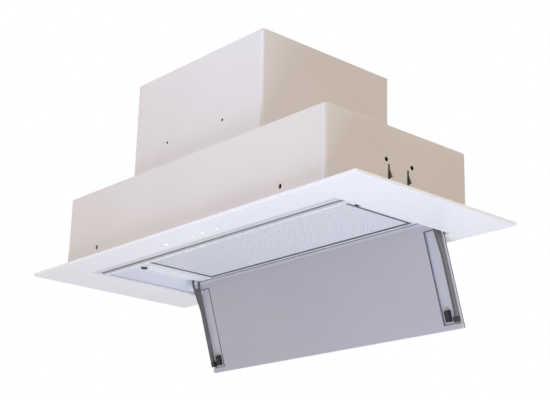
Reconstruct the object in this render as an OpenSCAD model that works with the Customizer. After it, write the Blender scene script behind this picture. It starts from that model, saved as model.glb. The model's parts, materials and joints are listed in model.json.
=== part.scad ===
// Built-in range hood: a glass flange with a recess below a low housing and a blower housing.
// The origin is the centre of the flange's upper face, which bears on the cupboard's underside.
// +Z is up, -Y is the front with the touch marks, +X is the right seen from the front.

/* [Flange] */
// Width of the glass flange
flange_w = 900; // [860:10:1000]
// Depth of the glass flange
flange_d = 378; // [370:2:410]
// Thickness of the glass flange
glass_t = 6; // [5:0.5:8]
// Width of the glass from its side edge to the recess
side_margin = 113; // [108:1:115]
// Depth of the glass from its front edge to the recess, grip rail included
front_margin = 99; // [95:1:101]
// Depth of the glass from its rear edge to the recess
rear_margin = 43; // [39:1:44]

/* [Recess] */
// Height of the recess ceiling above the glass's lower face
recess_h = 26; // [25:0.5:30]
// Wall thickness of the liner tray
liner_t = 1.2; // [0.8:0.1:1.6]
// Width of the dark seal round the liner tray
seal_t = 2; // [1:0.5:3]
// Height of the seal's lower edge above the glass's lower face
seal_in = 4.5; // [1:0.5:4.5]
// Width of the liner tray's foot on the bottom frame
liner_foot = 12; // [8:1:16]

/* [Grip rail] */
// Depth of the rail from its front edge to the recess
rail_d = 35; // [32:1:38]
// Depth of its sloped face
rail_slope_d = 24; // [20:1:25]
// Rise of its sloped face
rail_slope_h = 4.5; // [3:0.5:5]
// Depth of its rear rim
rail_rim_d = 7; // [6:1:8]

/* [Housings] */
// How far the flange stands out beyond the lower housing's sides
lower_side = 88; // [70:1:92]
// How far the flange stands out beyond the lower housing's front and rear
lower_edge = 20; // [14:1:21]
// Height of the lower housing
lower_h = 137.7; // [120:0.1:160]
// Width of the upper housing
upper_w = 366.6; // [360:0.2:400]
// Step from the lower to the upper housing's front face
upper_front_step = 20.6; // [15:0.1:23]
// Step from the lower to the upper housing's rear face
upper_step = 3.1; // [2:0.1:6]
// Height of the upper housing's top above the flange
top_z = 333.4; // [330:0.1:380]
// Sheet thickness of the housings
sheet_t = 1.2; // [0.8:0.1:2]
// Width of the housings' inner feet
foot_w = 13; // [10:1:15]
// Thickness of the bottom frame
frame_t = 1.5; // [1:0.25:2]
// Height of the bottom frame's upstand
frame_h = 28; // [26:1:32]
// Height of the top plate's skirt
skirt_h = 14; // [10:1:20]

/* [Wall holes] */
// Distance of the side wall's screw holes from the centre
side_hole_y = 30.5; // [30:0.5:40]
// Height of the side wall's screw holes
side_hole_z = 77; // [74:0.5:90]
// Diameter of the side wall's screw holes
side_hole_d = 8; // [6:0.5:8.5]
// Distance of the lower housing's frame screws from its side
frame_hole_in = 102; // [90:1:120]
// Height of the frame screws
frame_hole_z = 21; // [15:0.5:21]
// Width of the upright slots through the front wall and the frame
frame_hole_d = 7; // [5:0.5:8]
// Height of those slots beyond their width
frame_slot = 2; // [1:0.5:4]
// Distance of the upper front holes from the centre
upper_hole_x = 80; // [60:5:100]
// Height of the upper front holes
upper_hole_z = 191; // [180:1:210]
// Diameter of the upper front holes
upper_hole_d = 5.5; // [4:0.5:6]

/* [Side clips] */
// Place of the front barb
barb_front_y = -23.5; // [-24:0.5:-20]
// Place of the rear barb
barb_rear_y = 22; // [18:0.5:24]
// Height of the barbs' lower edge
barb_z = 46; // [44:0.5:48]
// Height of a barb
barb_h = 23; // [18:1:24]
// How far a barb stands out of the wall
barb_out = 7; // [6:0.5:10]
// Thickness of a barb and its spring leaf
leaf_t = 1; // [0.8:0.1:1.2]
// Width of a spring leaf
leaf_w = 52; // [50:1:52]

/* [Flap] */
// Distance of the flap's pivot from the recess's rear wall
pivot_in = 21; // [20:0.5:22]
// Height of the flap's pivot
pivot_z = 9; // [8.5:0.1:9.5]
// Angle between the closed and the open flap
open_angle = 107.8; // [90:0.1:108]
// Gap at each side of the closed flap
flap_side = 4; // [4:0.5:7]
// Depth of the flap
flap_d = 185; // [180:1:190]
// Distance of the flap's rear edge behind the pivot
flap_lead = 2.1; // [1:0.1:2.1]
// Distance of the outer glass face from the pivot
flap_drop = 12.8; // [12.6:0.1:13.4]
// Thickness of the flap's glass
flap_glass_t = 3.2; // [3:0.1:4]
// Thickness of the inner panel
panel_h = 4.3; // [3.5:0.1:4.5]
// Sheet thickness of the inner panel
panel_t = 1; // [0.6:0.1:1.2]
// Width of a side pocket in the inner panel
pocket_w = 37; // [32:1:40]
// Width of the inner panel's edge beyond a pocket, at the hinge
pocket_top = 12; // [10:1:14]
// Width of the inner panel's edge beyond a pocket, at the free edge
pocket_end = 10; // [8:1:12]

/* [Arms] */
// Width of an arm
arm_t = 5; // [4:0.5:6]
// Step from the flap's side to the arm
arm_inset = 3; // [1:0.1:4]
// Height of an arm's bar
bar_h = 8.6; // [7:0.2:9]
// Distance from an arm's cap to the flap's free edge, beyond the arm's end
arm_end = 25; // [23:1:30]
// Radius of an arm's eye
eye_r = 7.5; // [7:0.1:7.5]
// Length of the slot in the eye, beyond the pin
eye_slot = 8; // [6:0.5:8]
// Radius of the slot in the eye
slot_r = 4.4; // [4:0.1:5]
// Radius of the hinge pin
pin_r = 2.5; // [2:0.1:3]
// Length of an arm's end cap
cap_l = 10; // [8:1:12]
// Width of an arm's end cap
cap_w = 9.5; // [8:0.5:12]

/* [Bumpers and sensors] */
// Distance of a bumper's middle from the flap's side
bumper_in = 25; // [23:1:27]
// Width of a bumper
bumper_w = 10; // [8:1:14]
// Length of a bumper
bumper_l = 20; // [18:1:24]
// How far a bumper stands over the inner panel
bumper_rise = 4.8; // [3:0.2:6]
// Distance of a bumper from the pocket's end
bumper_end = 5; // [2:0.5:6]
// Distance of a flap sensor from the recess's side wall
sensor_side = 38.5; // [35:0.5:41]
// Distance of a flap sensor from the recess's front wall
sensor_front = 60.7; // [59:0.1:62]
// Diameter of a flap sensor
sensor_d = 13.7; // [12:0.1:15]
// Length of a flap sensor
sensor_l = 2.5; // [2:0.1:4]
// Length of the post that carries a flap sensor
post_l = 4.5; // [3:0.1:5]

/* [Filter] */
// Distance of the filter from the recess's side wall, which leaves room for a light
filter_side = 61; // [61:1:67]
// Distance of the filter from the recess's front wall
filter_front_in = 16; // [14:1:20]
// Distance of the filter from the recess's rear wall
filter_rear_in = 22; // [22:1:28]
// Thickness of the filter
filter_h = 8.8; // [8:0.2:10]
// Sheet thickness of the filter's frame
filter_t = 1; // [0.8:0.1:1.2]
// Width of the filter frame's lips
lip_w = 5; // [4:1:8]
// Gap round the filter
filter_gap = 1; // [0.8:0.1:1.5]
// Travel of the filter's latch
latch_travel = 3; // [2:0.5:3]

/* [Lights] */
// Distance of a light's middle from the recess's side wall
light_side = 31.5; // [31:0.5:37]
// Width of a light
light_w = 26; // [22:0.5:27]
// Distance of a light from the recess's front wall
light_front_in = 70; // [70:1:74]
// Distance of a light from the recess's rear wall
light_rear_in = 28; // [26:1:36]
// Height of a light module
light_h = 8; // [6:1:12]

/* [Touch controls] */
// Distance between the first two touch marks
mark_step = 42; // [38:1:46]
// Diameter of a touch mark
mark_d = 8; // [5:0.5:9]
// Distance of the touch marks from the flange's front edge
mark_inset = 44.2; // [42:0.1:46]

/* [Blower] */
// Distance of the blower's axis in front of the duct's
blower_lead = 52.75; // [51:0.25:55]
// Height of the blower's axis
blower_z = 150; // [146:1:156]
// Radius of the impeller
impeller_r = 66; // [60:1:67]
// Length of the impeller
impeller_l = 144; // [120:2:150]
// Number of blades
blades = 36; // [24:2:44]
// Radial depth of a blade
blade_d = 12; // [8:1:12]
// Smallest radius inside the scroll
scroll_in = 72; // [71:1:76]
// Largest radius inside the scroll
scroll_out = 104; // [96:1:106]
// Wall of the scroll housing
scroll_t = 1.5; // [1.2:0.1:2]
// Gap between the impeller and the scroll's sides
scroll_gap = 8; // [6:1:12]
// Radius of the motor
motor_r = 42; // [36:1:46]
// Length of the motor
motor_l = 66; // [50:1:68]
// Radius of the motor shaft
shaft_r = 4; // [3:0.5:5]

/* [Duct collar] */
// Outer diameter of the collar
collar_d = 150; // [125:1:150]
// Height of the collar
collar_h = 45; // [40:1:60]
// Wall of the collar
collar_t = 2; // [1.5:0.1:3]
// Width of the collar's flange
collar_flange = 16; // [14:1:18]
// Height of the damper pin above the top plate
damper_z = 16; // [12:1:20]
// Radius of the damper pin
damper_pin_r = 2; // [1.5:0.1:2.5]
// Thickness of a damper
damper_t = 1.2; // [1:0.1:2]

/* [Control box] */
// Width of the control box
box_w = 60; // [50:1:66]
// Depth of the control box
box_d = 150; // [130:2:160]
// Height of the control box
box_h = 130; // [120:2:140]
// Height of the control box above the lower housing
box_lift = 22; // [20:1:30]
// Wall of the control box
box_t = 1.5; // [1:0.1:2]

/* [Fits] */
// Running gap between a pin and its bore
run_gap = 0.05; // [0.02:0.01:0.1]
// Gap between parts that only lie side by side
free_gap = 0.3; // [0.2:0.1:0.5]
// Radius of the small screws
screw_r = 2; // [1.5:0.1:2]

/* [Hidden] */
$fn = 48;

// Half sizes and levels that several parts share
lower_w = flange_w - 2 * lower_side;
lower_d = flange_d - 2 * lower_edge;
wall_in_x = lower_w / 2 - sheet_t;
wall_in_y = lower_d / 2 - sheet_t;
opening_w = flange_w - 2 * side_margin;
opening_front = flange_d / 2 - front_margin;
opening_rear = flange_d / 2 - rear_margin;
frame_hole_x = lower_w / 2 - frame_hole_in;
liner_x = opening_w / 2;
liner_out_x = liner_x + liner_t;
cut_x = liner_out_x + seal_t;
cut_front = opening_front + rail_d;
cut_rear = opening_rear + liner_t + seal_t;
ceiling_z = recess_h - glass_t;
seal_low = seal_in - glass_t;
foot_top = frame_t + liner_t;
upper_rear = lower_d / 2 - upper_step;
upper_front = upper_front_step - lower_d / 2;
duct_y = (upper_rear + upper_front) / 2;
plate_z = top_z - sheet_t;

// Filter and its well above the ceiling
filter_w = opening_w - 2 * filter_side;
filter_front = opening_front - filter_front_in;
filter_rear = opening_rear - filter_rear_in;
well_x = filter_w / 2 + filter_gap;
well_front = filter_front + filter_gap;
well_rear = filter_rear + filter_gap;
well_top = ceiling_z + filter_h + filter_gap / 2;
ledge_w = 14;

// Latch of the filter
latch_w = 40;
latch_d = 12;
latch_y = -filter_front + filter_t + latch_travel + 1;
tongue_w = 12;
tongue_t = 1.4;
tongue_z = ceiling_z + liner_t + free_gap / 2;
hook_x = filter_w * 0.36;
hook_w = 16;

// Lights and flap sensors beside the filter
light_x = opening_w / 2 - light_side;
light_front = light_front_in - opening_front;
light_rear = opening_rear - light_rear_in;
sensor_x = opening_w / 2 - sensor_side;
sensor_y = sensor_front - opening_front;

// Flap, pivot and bumpers
flap_w = opening_w - 2 * flap_side;
pivot_y = opening_rear - pivot_in;
arm_l = flap_d - arm_end;
bumper_x = flap_w / 2 - bumper_in;

// Hinge pockets in the liner's rear corners
hinge_top = pivot_z + 21;
hinge_pocket_w = 15;
hinge_pocket_d = 40;
arm_out = flap_w / 2 - arm_inset;
arm_in = arm_out - arm_t;
bracket_r = 8;
bracket_x = arm_out + 0.6;
pin_head_r = 3.8;
pin_head_t = 1.5;

// Levels across the flap, measured from the pivot when it is closed
glass_in = flap_glass_t - flap_drop;
floor_in = glass_in + panel_t;
panel_in = glass_in + panel_h;
flap_end = flap_lead - flap_d;
bar_top = floor_in + bar_h;
cap_end = -arm_l - cap_l;

// Side clips
clip_gap = 0.6;
leaf_x = wall_in_x - clip_gap - leaf_t;
clip_hinge_z = barb_z + barb_h + 5;
clip_plate_h = 18;
leaf_low = 6;
slit_front = 3.5;
slit_rear = 1.3;

// Touch controls
marks = [-1.66, -0.66, 0.14, 0.78, 1.73];
mark_y = -flange_d / 2 + mark_inset;
mark_t = glass_t / 15;
board_w = mark_step * 4.2;
board_d = 14;
board_t = 1.6;
cover_h = 7;

// Blower
blower_y = duct_y - blower_lead;
scroll_start = 75;
full_turn = 360;
scroll_turn = full_turn - scroll_start;
scroll_x = impeller_l / 2 + scroll_gap;
mouth_r = collar_d / 2 - collar_t;
mouth_z = plate_z - scroll_t;
mouth_edge = 14;
inlet_r = impeller_r - blade_d - 2;
blade_t = 1;
rim_t = 2;
hub_r = 11;
hub_l = 14;
hub_x = -12;
motor_x = scroll_x - motor_l;
bracket_t = 2;
bracket_hub_r = 30;
ear_r = 6;
ear_l = 8;
ear_out = 5.6;
ear_angles = [110, 205, 270, 330];
motor_screw_l = motor_l / 6;

// Duct collar
collar_r = collar_d / 2;
damper_r = collar_r - collar_t - 2;
knuckle_r = damper_pin_r + 1.8;
knuckle_far = 0.64 * collar_r;
knuckle_near = 16;
ledge_t = 1.5;
damper_axis_z = top_z + damper_z;
collar_screw_r = collar_r + collar_flange / 2;

// Control box on the right inner wall of the upper housing
box_x = upper_w / 2 - sheet_t;
box_y = duct_y - 10;
box_z = lower_h + box_lift;
board_gap = 4;
gland_r = 8;
gland_bore = 4.5;
gland_h = 20;
gland_x = upper_w / 2 - 43.3;
gland_y = upper_front + 48.4;

// Colours of the materials
white_glass = [0.93, 0.94, 0.96];
white_paint = [0.9, 0.9, 0.93];
box_grey = [0.85, 0.84, 0.85];
steel = [0.62, 0.64, 0.68];
zinc = [0.75, 0.75, 0.76];
black = [0.09, 0.09, 0.1];
arm_grey = [0.36, 0.38, 0.44];
light_white = [0.97, 0.97, 1.0];
board_green = [0.12, 0.36, 0.22];

// A box between two corners
module block(x0, x1, y0, y1, z0, z1) {
  translate([x0, y0, z0]) cube([x1 - x0, y1 - y0, z1 - z0]);
}

// A box that is centred left to right
module slab(half_x, y0, y1, z0, z1) {
  block(-half_x, half_x, y0, y1, z0, z1);
}

// The part on the right and its mirror image on the left
module both_sides() {
  children();
  mirror([1, 0, 0]) children();
}

// An outline in Y and Z, drawn out from x0 to x1
module along_x(x0, x1) {
  translate([x0, 0, 0]) rotate([90, 0, 90]) linear_extrude(x1 - x0) children();
}

// A round bar along X
module bar_x(x0, x1, y, z, r) {
  translate([x0, y, z]) rotate([0, 90, 0]) cylinder(h = x1 - x0, r = r);
}

// A round bar along Y
module bar_y(y0, y1, x, z, r) {
  translate([x, y0, z]) rotate([-90, 0, 0]) cylinder(h = y1 - y0, r = r);
}

// A round bar along Z
module bar_z(z0, z1, x, y, r) {
  translate([x, y, z0]) cylinder(h = z1 - z0, r = r);
}

// A pan-head screw with its head above z and its shank below
module screw_down(x, y, z, length) {
  bar_z(z - length, z, x, y, screw_r);
  bar_z(z, z + screw_r, x, y, screw_r * 1.9);
}

// Places a flap part: drawn closed with the pivot at its origin, shown open
module hung_open() {
  translate([0, pivot_y, pivot_z]) rotate([open_angle, 0, 0]) children();
}

module flange_glass() {
  color(white_glass)
  difference() {
    slab(flange_w / 2, -flange_d / 2, flange_d / 2, -glass_t, 0);
    slab(cut_x, -cut_front, cut_rear, -glass_t - 1, 1);
    for (m = marks) bar_z(-glass_t - 1, -glass_t + mark_t, m * mark_step, mark_y, mark_d / 2);
  }
}

module touch_marks() {
  color(light_white)
  for (m = marks) bar_z(-glass_t, -glass_t + mark_t, m * mark_step, mark_y, mark_d / 2);
}

// The rail's outline: sloped grip face, seal groove and rear rim under one flat top
module grip_rail() {
  slope_end = -cut_front + rail_slope_d;
  color(white_glass)
  along_x(-liner_out_x, liner_out_x)
  polygon([
    [-cut_front, -glass_t], [slope_end, rail_slope_h - glass_t], [slope_end, 0],
    [-opening_front - rail_rim_d, 0], [-opening_front - rail_rim_d, -glass_t],
    [-opening_front, -glass_t], [-opening_front, frame_t], [-cut_front, frame_t]
  ]);
}

module grip_seal() {
  color(black)
  slab(liner_x, -cut_front + rail_slope_d, -opening_front - rail_rim_d, rail_slope_h - glass_t, 0);
}

// Runs round the left, right and rear edges of the glass cut-out
module opening_seal() {
  color(black)
  difference() {
    slab(cut_x, -cut_front, cut_rear, seal_low, 0);
    slab(liner_out_x, -cut_front - 1, cut_rear - seal_t, -glass_t - 1, 1);
  }
}

// Upright slots at the front and screw bores at the rear, through wall and frame
module frame_openings() {
  for (s = [-1, 1]) {
    for (z = [-frame_slot, frame_slot] / 2)
      bar_y(-lower_d, 0, s * frame_hole_x, frame_hole_z + z, frame_hole_d / 2);
    block(s * frame_hole_x - frame_hole_d / 2, s * frame_hole_x + frame_hole_d / 2,
          -lower_d, 0, frame_hole_z - frame_slot / 2, frame_hole_z + frame_slot / 2);
    bar_y(0, lower_d, s * frame_hole_x, frame_hole_z, screw_r + run_gap);
  }
}

module bottom_frame() {
  color(zinc)
  difference() {
    slab(wall_in_x, -wall_in_y, wall_in_y, 0, frame_h);
    slab(wall_in_x - frame_t, -wall_in_y + frame_t, wall_in_y - frame_t, frame_t, frame_h + 1);
    slab(cut_x, -cut_front, cut_rear, -1, frame_t + 1);
    slab(board_w / 2 + 1, mark_y - board_d / 2 - 1, mark_y + board_d / 2 + 1, -1, frame_t + 1);
    frame_openings();
  }
}

module liner_tray() {
  color(white_paint)
  difference() {
    union() {
      difference() {
        slab(liner_out_x + liner_foot, -cut_front - liner_foot, cut_rear + liner_foot - seal_t,
             frame_t, foot_top);
        slab(liner_x, -opening_front + liner_t, opening_rear, 0, foot_top + 1);
      }
      difference() {
        slab(liner_out_x, -opening_front, opening_rear + liner_t, seal_low, foot_top);
        slab(liner_x, -opening_front - 1, opening_rear, -glass_t, frame_t);
        slab(liner_x, -opening_front + liner_t, opening_rear, -glass_t, foot_top + 1);
        slab(liner_x + 2 * liner_t, -opening_front - 1, -opening_front + liner_t, -glass_t - 1, 0);
      }
      difference() {
        slab(liner_out_x, -opening_front, opening_rear + liner_t, foot_top - liner_t,
             ceiling_z + liner_t);
        slab(liner_x, -opening_front + liner_t, opening_rear, 0, ceiling_z);
      }
      slab(well_x + liner_t, -well_front - liner_t, well_rear + liner_t, ceiling_z,
           well_top + liner_t);
      both_sides()
      block(liner_x - hinge_pocket_w - liner_t, liner_out_x,
            opening_rear - hinge_pocket_d - liner_t, opening_rear + liner_t,
            ceiling_z, hinge_top + liner_t);
      both_sides()
      bar_z(ceiling_z - post_l, ceiling_z, sensor_x, sensor_y, sensor_d / 2 + liner_t / 2);
    }
    slab(well_x, -well_front, well_rear, ceiling_z - 1, well_top);
    slab(well_x - ledge_w, -well_front + ledge_w, well_rear - ledge_w, ceiling_z, well_top + 9);
    slab(tongue_w / 2 + free_gap, -well_front - liner_t - 1, -well_front + 1,
         tongue_z - free_gap / 2, tongue_z + tongue_t + free_gap);
    for (s = [-1, 1])
      block(s * hook_x - hook_w / 2 - free_gap, s * hook_x + hook_w / 2 + free_gap,
            well_rear - 1, well_rear + liner_t + 1,
            tongue_z - free_gap / 2, tongue_z + tongue_t + free_gap);
    both_sides()
    block(liner_x - hinge_pocket_w, liner_x, opening_rear - hinge_pocket_d, opening_rear,
          ceiling_z - 1, hinge_top);
    both_sides()
    block(light_x - light_w / 2 - free_gap, light_x + light_w / 2 + free_gap,
          light_front - free_gap, light_rear + free_gap, ceiling_z - 1, ceiling_z + liner_t + 1);
    both_sides()
    for (y = [-4, 4])
      bar_z(hinge_top - 1, hinge_top + liner_t + 1, bracket_x + 2, pivot_y - 1.5 + y,
            screw_r * 0.7 + run_gap);
  }
}

module lower_housing() {
  color(box_grey)
  difference() {
    slab(lower_w / 2, -lower_d / 2, lower_d / 2, 0, lower_h);
    slab(wall_in_x, -wall_in_y, wall_in_y, -1, lower_h - sheet_t);
    slab(upper_w / 2 - sheet_t - foot_w, upper_front + sheet_t + foot_w,
         upper_rear - sheet_t - foot_w, 0, lower_h + 1);
    frame_openings();
    for (y = [-side_hole_y, side_hole_y])
      bar_x(-lower_w, lower_w, y, side_hole_z, side_hole_d / 2);
    for (y = [barb_front_y, barb_rear_y])
      slab(lower_w, y - slit_front, y + slit_rear, barb_z - 4, barb_z + barb_h + 1);
    seam_holes();
  }
}

// Screw places along the upper housing's inner feet
module at_seams() {
  foot_mid = sheet_t + foot_w / 2;
  for (s = [-1, 1], y = [upper_front + foot_mid, upper_rear - foot_mid])
    translate([s * upper_w * 0.3, y, 0]) children();
}

module seam_holes() {
  at_seams() bar_z(lower_h - 5, lower_h + 5, 0, 0, screw_r + run_gap);
}

module upper_housing() {
  color(box_grey)
  difference() {
    slab(upper_w / 2, upper_front, upper_rear, lower_h, plate_z);
    slab(upper_w / 2 - sheet_t, upper_front + sheet_t, upper_rear - sheet_t,
         lower_h + sheet_t, top_z);
    slab(upper_w / 2 - sheet_t - foot_w, upper_front + sheet_t + foot_w,
         upper_rear - sheet_t - foot_w, lower_h - 1, top_z);
    for (s = [-1, 1])
      bar_y(upper_front - 1, upper_front + 9, s * upper_hole_x, upper_hole_z, upper_hole_d / 2);
    seam_holes();
  }
}

module seam_screws() {
  color(zinc)
  at_seams() mirror([0, 0, 1]) screw_down(0, 0, sheet_t - lower_h, 3 * sheet_t);
}

module top_plate() {
  color(box_grey)
  difference() {
    slab(upper_w / 2, upper_front, upper_rear, plate_z - skirt_h, top_z);
    difference() {
      slab(upper_w, -lower_d, lower_d, plate_z - skirt_h - 1, plate_z);
      slab(upper_w / 2 - sheet_t, upper_front + sheet_t, upper_rear - sheet_t,
           plate_z - skirt_h - 2, plate_z + 1);
    }
    slab(upper_w / 2 - 2 * sheet_t, upper_front + 2 * sheet_t, upper_rear - 2 * sheet_t,
         plate_z - skirt_h - 1, plate_z);
    bar_z(plate_z - 1, top_z + 1, 0, duct_y, mouth_r);
    at_collar_screws() bar_z(plate_z - 1, top_z + 1, 0, 0, screw_r + run_gap);
    bar_z(plate_z - 1, top_z + 1, gland_x, gland_y, gland_r + run_gap);
  }
}

// A spring leaf with two barbs that stand out through the wall's slits
module spring_leaf() {
  block(leaf_x, leaf_x + leaf_t, -leaf_w / 2, leaf_w / 2, barb_z - leaf_low, clip_hinge_z);
  for (y = [barb_front_y, barb_rear_y])
    translate([0, y + leaf_t / 2, 0]) rotate([90, 0, 0]) linear_extrude(leaf_t)
      polygon([[leaf_x, barb_z], [lower_w / 2 + barb_out, barb_z], [leaf_x, barb_z + barb_h]]);
}

module left_spring_clip() {
  color(steel) mirror([1, 0, 0]) spring_leaf();
}

module right_spring_clip() {
  color(steel) spring_leaf();
}

// The clip's root, fixed flat to the wall just above the leaf's bend
module clip_plate() {
  block(leaf_x, wall_in_x, -leaf_w / 2, leaf_w / 2,
        clip_hinge_z + free_gap, clip_hinge_z + clip_plate_h);
}

module left_clip_plate() {
  color(steel) mirror([1, 0, 0]) clip_plate();
}

module right_clip_plate() {
  color(steel) clip_plate();
}

module filter_frame() {
  inner_x = filter_w / 2 - filter_t;
  color(zinc)
  difference() {
    union() {
      slab(filter_w / 2, -filter_front, filter_rear, ceiling_z, ceiling_z + filter_h);
      for (s = [-1, 1])
        block(s * hook_x - hook_w / 2, s * hook_x + hook_w / 2, filter_rear - 1,
              well_rear + liner_t + 1, tongue_z, tongue_z + tongue_t);
    }
    slab(inner_x, -filter_front + filter_t, filter_rear - filter_t,
         ceiling_z + filter_t, ceiling_z + filter_h - filter_t);
    slab(inner_x - lip_w + filter_t, -filter_front + lip_w, filter_rear - lip_w,
         ceiling_z - 1, ceiling_z + filter_h + 1);
    slab(tongue_w / 2 + free_gap, -filter_front - 1, -filter_front + filter_t + 1,
         tongue_z - free_gap, tongue_z + tongue_t + free_gap);
  }
}

// The clear space in skin and core that the latch slides in
module latch_space() {
  slab(latch_w / 2 + free_gap, -filter_front - 1, latch_y + latch_d + latch_travel + 1,
       ceiling_z - 3, ceiling_z + filter_h);
}

module filter_skin() {
  inner_x = filter_w / 2 - filter_t;
  color(steel)
  difference() {
    slab(inner_x, -filter_front + filter_t, filter_rear - filter_t,
         ceiling_z + filter_t, ceiling_z + 1.8 * filter_t);
    latch_space();
  }
}

module filter_core() {
  inner_x = filter_w / 2 - 2 * filter_t;
  color(zinc)
  difference() {
    slab(inner_x, -filter_front + 2 * filter_t, filter_rear - 2 * filter_t,
         ceiling_z + 1.8 * filter_t, ceiling_z + filter_h - filter_t);
    latch_space();
  }
}

module filter_latch() {
  color(black)
  difference() {
    union() {
      slab(latch_w / 2, latch_y, latch_y + latch_d, ceiling_z - 1, tongue_z + tongue_t);
      slab(tongue_w / 2, -well_front - liner_t - latch_travel / 2, latch_y + 1,
           tongue_z, tongue_z + tongue_t);
    }
    slab(latch_w / 2 - 4, latch_y + 4, latch_y + latch_d - 2, ceiling_z - 2, ceiling_z + 0.5);
  }
}

module light_lens() {
  block(light_x - light_w / 2, light_x + light_w / 2, light_front, light_rear,
        ceiling_z - 1, ceiling_z + liner_t);
  block(light_x - light_w / 2 - 1.5, light_x + light_w / 2 + 1.5,
        light_front - 2, light_rear + 2, ceiling_z + liner_t, ceiling_z + liner_t + 1.5);
}

module left_light_lens() {
  color(light_white) mirror([1, 0, 0]) light_lens();
}

module right_light_lens() {
  color(light_white) light_lens();
}

// A channel over the lens that holds the row of lamps
module light_module() {
  low = ceiling_z + liner_t + 1.5;
  difference() {
    block(light_x - light_w / 2, light_x + light_w / 2, light_front, light_rear,
          low, low + light_h);
    block(light_x - light_w / 2 + 1.5, light_x + light_w / 2 - 1.5, light_front + 1.5,
          light_rear - 1.5, low - 1, low + light_h - 3);
  }
}

module left_light_module() {
  color(zinc) mirror([1, 0, 0]) light_module();
}

module right_light_module() {
  color(zinc) light_module();
}

module flap_sensors() {
  color(black)
  both_sides()
  bar_z(ceiling_z - post_l - sensor_l, ceiling_z - post_l, sensor_x, sensor_y, sensor_d / 2);
}

// Hangs from the roof of the hinge pocket and holds the pin beside the arm
module hinge_bracket() {
  difference() {
    union() {
      bar_x(bracket_x, liner_x, pivot_y, pivot_z, bracket_r);
      block(bracket_x, liner_x, pivot_y - bracket_r, pivot_y + 5, pivot_z, hinge_top);
    }
    bar_x(bracket_x - 1, liner_x + 1, pivot_y, pivot_z, pin_r + run_gap);
    for (y = [-4, 4])
      bar_z(hinge_top - 7, hinge_top + 1, bracket_x + 2, pivot_y - 1.5 + y,
            screw_r * 0.7 + run_gap);
  }
}

module left_hinge_bracket() {
  color(white_paint) mirror([1, 0, 0]) hinge_bracket();
}

module right_hinge_bracket() {
  color(white_paint) hinge_bracket();
}

module hinge_pins() {
  color(zinc)
  both_sides() {
    bar_x(arm_in - free_gap - 0.1, liner_x, pivot_y, pivot_z, pin_r);
    bar_x(arm_in - free_gap - pin_head_t, arm_in - free_gap, pivot_y, pivot_z, pin_head_r);
  }
}

module hinge_screws() {
  color(zinc)
  both_sides()
  for (y = [-4, 4]) {
    bar_z(hinge_top - 6, hinge_top + liner_t, bracket_x + 2, pivot_y - 1.5 + y, screw_r * 0.7);
    bar_z(hinge_top + liner_t, hinge_top + liner_t + 1.5, bracket_x + 2, pivot_y - 1.5 + y,
          screw_r * 1.4);
  }
}

module flap_glass() {
  color(white_glass)
  hung_open() slab(flap_w / 2, flap_end, flap_lead, -flap_drop, glass_in);
}

// A folded panel, hollow towards the glass, with an arm pocket at each side
module flap_inner_panel() {
  half = flap_w / 2 - 1;
  pocket_in = flap_w / 2 - pocket_w;
  pocket_low = flap_end + pocket_end;
  pocket_high = flap_lead - pocket_top;
  color(white_paint)
  hung_open()
  difference() {
    slab(half, flap_end + 1, flap_lead, glass_in, panel_in);
    slab(pocket_in - panel_t, pocket_low, pocket_high, glass_in - 1, panel_in - panel_t);
    both_sides()
    block(pocket_in, flap_w, pocket_low, pocket_high, floor_in, panel_in + 1);
    both_sides()
    block(arm_in - 5, flap_w, pocket_high - bracket_r, flap_lead + 1, glass_in - 1, panel_in + 1);
  }
}

// A flat bar that widens to an eye; the eye's slot holds the bush
module arm() {
  difference() {
    union() {
      along_x(arm_in, arm_out)
      polygon([
        [-arm_l, floor_in], [-arm_l, bar_top], [-arm_l / 3, bar_top], [-arm_l / 5, eye_r * 0.4],
        [-2 * eye_r, eye_r * 0.7], [-slot_r / 2, eye_r * 0.95], [-slot_r / 2, -eye_r * 0.95],
        [-eye_r, floor_in]
      ]);
      slot_bar(arm_in, arm_out, eye_r);
    }
    slot_bar(arm_in - 1, arm_out + 1, slot_r + run_gap);
  }
}

// A bar with round ends, from the pin to the far end of the eye's slot
module slot_bar(x0, x1, r) {
  bar_x(x0, x1, 0, 0, r);
  bar_x(x0, x1, eye_slot, 0, r);
  block(x0, x1, 0, eye_slot, -r, r);
}

module left_arm() {
  color(arm_grey) hung_open() mirror([1, 0, 0]) arm();
}

module right_arm() {
  color(arm_grey) hung_open() arm();
}

module eye_bushes() {
  color(light_white)
  hung_open()
  both_sides()
  difference() {
    slot_bar(arm_in, arm_out, slot_r);
    bar_x(arm_in - 1, arm_out + 1, 0, 0, pin_r + run_gap);
  }
}

module arm_caps() {
  color(black)
  hung_open()
  both_sides()
  block(arm_out - cap_w, arm_out, cap_end, -arm_l, floor_in, bar_top + 0.5);
}

module flap_bumpers() {
  bumper_low = flap_end + pocket_end + bumper_end;
  color(black)
  hung_open()
  both_sides()
  block(bumper_x - bumper_w / 2, bumper_x + bumper_w / 2, bumper_low, bumper_low + bumper_l,
        floor_in, panel_in + bumper_rise);
}

module touch_board() {
  color(board_green)
  slab(board_w / 2, mark_y - board_d / 2, mark_y + board_d / 2, 0, board_t);
}

module touch_cover() {
  half = board_w / 2;
  color(white_paint)
  difference() {
    slab(half, mark_y - board_d / 2, mark_y + board_d / 2, board_t, board_t + cover_h);
    slab(half - 1.2, mark_y - board_d / 2 + 1.2, mark_y + board_d / 2 - 1.2,
         board_t - 1, board_t + cover_h - 1.2);
  }
}

// Radius of the scroll's inside at an angle from the rear, counted upwards
function scroll_r(a) = scroll_in + (scroll_out - scroll_in) * (a - scroll_start) / scroll_turn;

// A point of the scroll, moved outwards by t
function scroll_point(a, t) = [
  blower_y + (scroll_r(a) + t) * cos(a),
  blower_z + (scroll_r(a) + t) * sin(a)
];

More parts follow.
